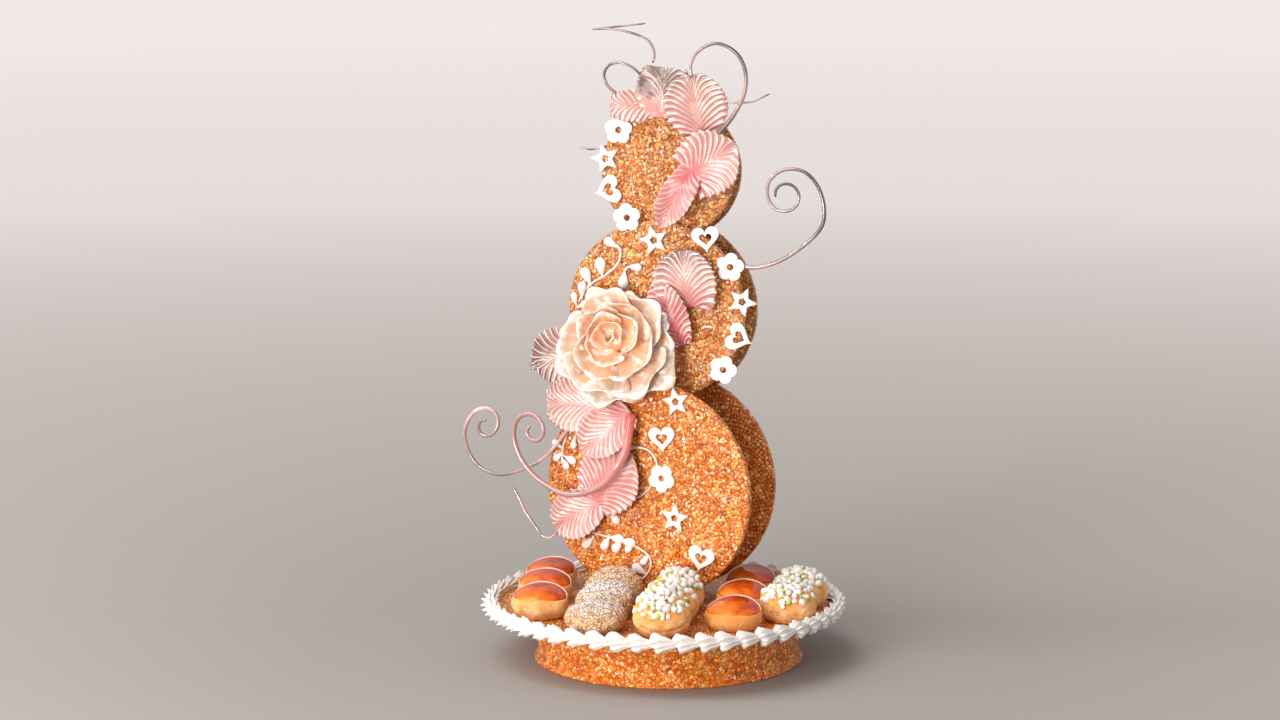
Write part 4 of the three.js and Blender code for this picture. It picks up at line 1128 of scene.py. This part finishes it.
# Each bun: its kind, x, y, radius, height, and how far it leans to the front in degrees.
CHOUX = [
    ("caramel", -80.5, -82.5, 23.3, 27, 6), ("caramel", -101.8, -31.3, 23.5, 25.2, 6),
    ("caramel", -117.5, 11, 22.8, 24.5, 0), ("craquelin", -16, -108.5, 26.8, 22, 8),
    ("craquelin", -28.5, -64, 24.3, 24, 21), ("craquelin", -40, -22, 24.3, 27, 22),
    ("pearl", 39, -97, 23, 29, 29), ("pearl", 28.5, -56, 22.5, 29, 29),
    ("pearl", 18, -17, 21.5, 30, 24), ("caramel", 83, -52.5, 22.7, 25, 5),
    ("caramel", 68.7, 1, 22.4, 27, 5), ("caramel", 53, 53.6, 22, 26, 0),
    ("pearl", 113, -7, 22.7, 28, 16), ("pearl", 103.5, 43, 22.5, 28, 16),
]
CHOU_PROFILES = {
    "craquelin": [(0, 0), (0.62, 0), (0.88, 0.12), (1.0, 0.38), (0.95, 0.62), (0.74, 0.84),
                  (0.38, 0.96), (0, 1)],
    "pearl": [(0, 0), (0.8, 0), (0.99, 0.2), (1.0, 0.46), (0.86, 0.72), (0.45, 0.88), (0, 0.92)],
}
hinge, to_front = turned_to([[1, 0, 0], [0, -1, 0]], FACING, X, Y)


def buns(kind):
    """The number, place, radius, height and lean of each bun of a kind."""
    for i, (sort, x, y, *sizes) in enumerate(CHOUX):
        if sort == kind:
            yield i, np.array([x, y, PLATE_TOP + GAP]), *sizes


def make_bun(kind, i, shells, place):
    """Makes one bun's piece and puts it at its place on the plate."""
    name, node = f"{kind}_chou_{i + 1:02d}", f"chou_{kind}_{i + 1:02d}"
    make_piece(name, shells, [node], lambda p: p + place)


def ahead_at(turn):
    """1 at the front of a bun and -1 at its back."""
    return np.cos(turn) * to_front[0] + np.sin(turn) * to_front[1]


def tipped(points, lean):
    """A bun's points after it is tipped to the front about its hinge and set down on the plate,
    and the same move for what sits on it."""
    def tip(p):
        p = turned_to(turned_to(p, -FACING, X, Y), lean, Y, Z)
        return turned_to(p, FACING, X, Y)

    drop = [0, 0, -tip(points)[:, 2].min() - CHOU_SINK if lean else 0.0]
    return np.maximum(tip(points) + drop, [-np.inf, -np.inf, 0]), lambda p: tip(p) + drop


def oval(points, seed):
    """Makes a turned bun slightly oval and lumpy."""
    angle = np.arctan2(points[:, 1], points[:, 0])
    swell = 1 + 0.03 * np.cos(2 * angle + seed) + 0.018 * np.cos(3 * angle - seed)
    return points * np.column_stack([swell, swell, np.ones(len(points))])


def round_bun(kind, radius, height, rings, turns, seed):
    """A plain bun, turned from the profile of its kind."""
    line = spline([(r * radius, z * height) for r, z in CHOU_PROFILES[kind]], rings)
    points, faces = turned(line, turns)
    return oval(points, seed), faces


print("buns:", len(CHOUX))

# %% Caramel buns
CAP = {"centre": 0.625, "wing": 0.122, "tilt": 0.183, "dome": 5.6, "thickness": 0.6}
CAP_REACH = 0.94  # the cap's rim as a share of the bun's radius
CAP_STEPS = 16
BUN_SIDE = [(0, 0), (0.55, 0.0), (0.84, 0.03), (0.97, 0.28), (1.02, 0.6), (0.995, 0.88), (0.94, 1)]
bun_turn = full_turn(72)
bun_ahead = ahead_at(bun_turn)


def cap_height(share, ahead, radius, height, lean):
    """The height of a dipped bun's top at a share of the cap's reach. ahead is 1 at its front."""
    tip = CAP["tilt"] - math.sin(math.radians(lean))
    rise = (CAP["wing"] * ahead**2 - tip * ahead) * radius * share**2
    return height * CAP["centre"] + rise + CAP["dome"] * (1 - share**2)


def caramel_bun(radius, height, lean, seed):
    """The crust of a bun, whose upper side is tilted to the front and domed."""
    rim = cap_height(1.0, bun_ahead, radius, height, lean)
    side = [about_axis(r * radius, bun_turn, rim * share) for r, share in spline(BUN_SIDE, 26)[1:]]
    for share in (0.97, 0.92, 0.84, 0.72, 0.56, 0.38, 0.2):
        z = cap_height(share, bun_ahead, radius, height, lean)
        side.append(about_axis(share * CAP_REACH * radius, bun_turn, z))
    points, faces = lofted(side, (0, 0, 0), (0, 0, height * CAP["centre"] + CAP["dome"]))
    points = oval(points, seed)
    lumpy = 22 * len(bun_turn)  # the side's rings up to just below the rim
    points[:lumpy] *= (1 + 0.02 * unevenness(points[:lumpy], 9, seed))[:, None]
    return points, faces


def glaze_on(radius, height, lean, short, seed):
    """The caramel on a bun: to the rim at the back, and with a ragged edge short of it in front.
    Its tint is a painted reflection: paler orange to the front and the left, and a deeper red-brown
    to the back and the right."""
    ragged = unevenness(about_axis(1, bun_turn), 0.3, seed)
    edge = 1.0 - np.clip(bun_ahead, 0, 1) ** 1.5 * (short + 0.035 * ragged)
    to_right = np.cos(bun_turn) * hinge[0] + np.sin(bun_turn) * hinge[1]
    rings, tints = [], []
    for step in np.linspace(1, 0.04, CAP_STEPS):
        share = step * edge
        z = cap_height(share, bun_ahead, radius, height, lean) + CAP["thickness"] * (1 - step**12)
        reach = share * CAP_REACH * radius * (1 + 0.008 * (step == 1))
        rings.append(about_axis(reach, bun_turn, z - 0.1))
        # Painted reflection: lighter to the front and left, darker to the back and right.
        tints.append(0.22 - 0.2 * bun_ahead * share + 0.14 * to_right * share)
    peak = height * CAP["centre"] + CAP["dome"] + CAP["thickness"] - 0.1
    points, faces = lofted(rings, (0, 0, peak - 1.6), (0, 0, peak))
    return oval(points, seed), faces, np.append(np.concatenate(tints), [0.2, 0.2])


def lip_of(radius, height, lean, seed):
    """The thin flange that the caramel leaves round the back of the cap."""
    turn = math.atan2(-to_front[1], -to_front[0]) + np.radians(np.linspace(-95, 95, 64))
    z = cap_height(1.0, ahead_at(turn), radius, height, lean) + 0.3
    path = oval(about_axis(radius * CAP_REACH * 1.012, turn, z), seed)
    return rod(path, rounded(np.full(64, 0.5), 10), 8, side_hint=(0, 0, 1))


for i, place, radius, height, lean in buns("caramel"):
    on_left, seed = place[0] < 0, i * 1.3
    crust, crust_faces = caramel_bun(radius, height, lean, seed)
    glaze, glaze_faces, cap_reflection_tint = glaze_on(radius, height, lean, 0.15 if on_left else 0.04, seed)
    lip, lip_faces = lip_of(radius, height, lean, seed)
    body, move = tipped(crust, lean)
    warm = np.clip(crust[:, 2] / height * 2 - 0.7, 0, 0.45) + (0.0 if on_left else 0.4)
    shells = [
        (body, crust_faces, choux, True, {"tint": warm}),
        (move(glaze), glaze_faces, caramel_cap, True, {"tint": cap_reflection_tint}),
        (move(lip), lip_faces, caramel_lip, True),
    ]
    make_bun("caramel", i, shells, place)
print("caramel buns made")

# %% Craquelin buns
SUGARING = {3: 0.85, 4: 1.0, 5: 0.6}  # how much icing sugar fell on each bun of the row
for i, place, radius, height, lean in buns("craquelin"):
    points, faces = round_bun("craquelin", radius, height, 66, 130, i)
    outward = points - [0, 0, height * 0.35]
    outward /= np.linalg.norm(outward, axis=1)[:, None]
    shift = Vector((i, 0, 0))
    nearest = np.array([noise.voronoi(Vector(p) / 5.2 + shift)[0] for p in points])
    cracks = np.minimum(1, (nearest[:, 1] - nearest[:, 0]) * 2.6)
    crust = np.clip(points[:, 2] / height * 2.2 - 0.5, 0, 1)
    rough = 0.9 * (cracks - 0.7) * crust
    rough += 0.4 * unevenness(points, 2.2, i) + 1.1 * unevenness(points, 9, i)
    body, _ = tipped(points + outward * rough[:, None], lean)
    up = body[:, 2]
    dusting = np.clip(1.3 * up / up.max() - 0.3, 0, 1) * (0.55 + 0.45 * cracks) * crust
    shells = [(body, faces, craquelin, True, {"height": dusting * SUGARING[i]})]
    make_bun("craquelin", i, shells, place)
print("triangles in a craquelin bun:", made_pieces["craquelin_chou_04"])

# %% Pearl-sugar buns
NIBS, NIB_RADIUS = 47, 3.25
PISTACHIOS = 26
DOME_SHARES, DOME_HEIGHTS = [0, 0.45, 0.85, 1.0], [0.95, 0.9, 0.73, 0.57]


def ball(detail):
    """The points and faces of a ball of radius 1."""
    shape = bmesh.new()
    bmesh.ops.create_icosphere(shape, subdivisions=detail, radius=1)
    points = np.array([v.co for v in shape.verts])
    faces = [tuple(v.index for v in f.verts) for f in shape.faces]
    shape.free()
    return points, faces


nib_ball, grain_ball = ball(2), ball(1)


def nib(place, size, shape):
    """An uneven lump: a ball that is stretched, turned and shaken."""
    points, faces = shape
    stretch = size * random.uniform(0.72, 1.2, 3)
    turn, _ = np.linalg.qr(random.normal(size=(3, 3)))
    boxy = np.sign(points) * np.abs(points) ** 0.72
    lumps = 1 + 0.14 * np.sin(points @ random.uniform(-4, 4, (3, 1)))
    return (boxy * lumps * stretch) @ turn.T + place, faces


def topping(k, radius, height, in_middle_row, move):
    """The shell of the bit number k: nibs of sugar first, and then the pistachio."""
    is_nib = k < NIBS
    number, count = (k, NIBS) if is_nib else (k - NIBS, PISTACHIOS)
    a = k * GOLDEN_ANGLE + random.uniform(-0.2, 0.2)
    share = math.sqrt((number + 0.4) / count)
    clear_front = max(ahead_at(a), 0) * (0.17 if in_middle_row else 0.03)
    share *= 0.99 - clear_front + (0 if is_nib else 0.03)
    z = height * np.interp(share, DOME_SHARES, DOME_HEIGHTS) + 0.9
    spot = move(about_axis(share * radius * 0.95, a, z))
    size = NIB_RADIUS * random.uniform(0.62, 1.05) if is_nib else random.uniform(1.6, 2.5)
    lump = nib(spot, size, nib_ball if is_nib else grain_ball)
    return *lump, pearl_sugar if is_nib else pistachio, is_nib


for i, place, radius, height, lean in buns("pearl"):
    in_middle_row = place[0] < 60
    points, faces = round_bun("pearl", radius, height, 44, 84, i)
    level = points[:, 2] / height + 0.05 * unevenness(points, 14, i)
    crease = np.exp(-(((level - 0.42) / 0.03) ** 2)) * (0.1 if in_middle_row else 0.02)
    points[:, :2] *= (1 - crease + 0.03 * unevenness(points, 8, i))[:, None]
    body, move = tipped(points, lean)
    glazed = np.clip(3 * level - 1.5, 0, 0.9)
    shells = [(body, faces, choux, True, {"tint": glazed})]
    shells += [topping(k, radius, height, in_middle_row, move) for k in range(NIBS + PISTACHIOS)]
    make_bun("pearl", i, shells, place)
print("triangles so far:", sum(made_pieces.values()))

# %% [markdown]
# ## Floor and light
# The floor is plain and pale, and grows lighter towards the back, as a studio table does under a
# wide light. A tall soft box stands at the front and a little to the left: it puts a pale sheen on
# the two upper tiers, which are turned towards it, and leaves the lowest disc a deep orange. Narrow
# strips and two small lamps draw the sharp glints on the sugar work and on the drum. Soft light
# from above and a weak one from the right fill the shadows.

# %% Floor
FLOOR_HALF = 40.0  # metres
FLOOR_TONES = [(0.03, "#99948F"), (0.17, "#C3BCB8"), (0.37, "#EFE9E8"), (1.0, "#FFFAF9")]
corners = [(x * FLOOR_HALF, y * FLOOR_HALF, 0) for x, y in ((-1, -1), (1, -1), (1, 1), (-1, 1))]
floor_mesh = bpy.data.meshes.new("floor")
floor_mesh.from_pydata(corners, [], [(0, 1, 2, 3)])
floor = put_in_scene("floor", floor_mesh)
floor_paint, shader, add, point = start_finish("plain_pale_floor", {"Roughness": 0.8})
distance = add("VectorMath", [point], operation="LENGTH")
far = add("MapRange", [distance, 0, 10])  # 1 at ten metres from the piece
feed(shader, {"Base Color": add("ValToRGB", [far], stops=FLOOR_TONES)})
floor_mesh.materials.append(floor_paint)
print("floor in metres:", 2 * FLOOR_HALF)

# %% Lights
scene = bpy.context.scene
scene.view_settings.view_transform = "Standard"
scene.world = bpy.data.worlds.new("studio")
scene.world.use_nodes = True
feed(scene.world.node_tree.nodes["Background"], {"Color": "#FFF8F6", "Strength": 0.47})
MIDDLE, LOW = (0, 0, 0.25), (0, 0, 0.03)


def soft_box(name, bearing, elevation, distance, size, power, colour="#FFFFFF", aim=MIDDLE):
    """An area light that faces the piece. bearing is measured like the camera's."""
    data = bpy.data.lights.new(name, "AREA")
    data.shape = "RECTANGLE"
    data.size, data.size_y = size
    data.energy = power
    data.color = linear(colour)[:3]
    way = way_out(bearing, elevation)
    put_in_scene(name, data, Vector(aim) + way * distance, -way)


# Each lamp: bearing, elevation, distance, size in metres and power.
soft_box("key_left_front", -8, 11, 2.4, (0.7, 1.8), 31, colour="#FFF8F2")
soft_box("strip_left", -60, 22, 1.9, (0.16, 1.3), 7)
soft_box("glint_drum", -12, 4, 1.3, (0.12, 0.12), 2.6, aim=LOW)
soft_box("glint_left", -50, 35, 1.9, (0.14, 0.14), 2.4)
soft_box("strip_top", 0, 65, 1.8, (0.9, 0.1), 2.5)
soft_box("strip_right", 100, 18, 1.9, (0.12, 1.2), 2.5)
soft_box("low_front", -14, 3, 1.3, (0.4, 0.2), 4.4, colour="#FFE9D6", aim=LOW)
soft_box("fill_right", 75, 20, 2.8, (1.0, 1.6), 4)

sun = bpy.data.lights.new("wide_top_light", "SUN")
sun.energy = 1.6
sun.angle = math.radians(40)
put_in_scene("wide_top_light", sun, look=Vector((0.42, 0.55, -1.25)))

# %% [markdown]
# ## Count of pieces
# The last cell updates the scene and prints how many pieces and triangles it has.

# %% Count the pieces and triangles
bpy.context.view_layer.update()
print("pieces:", len(made_pieces), "triangles:", sum(made_pieces.values()))
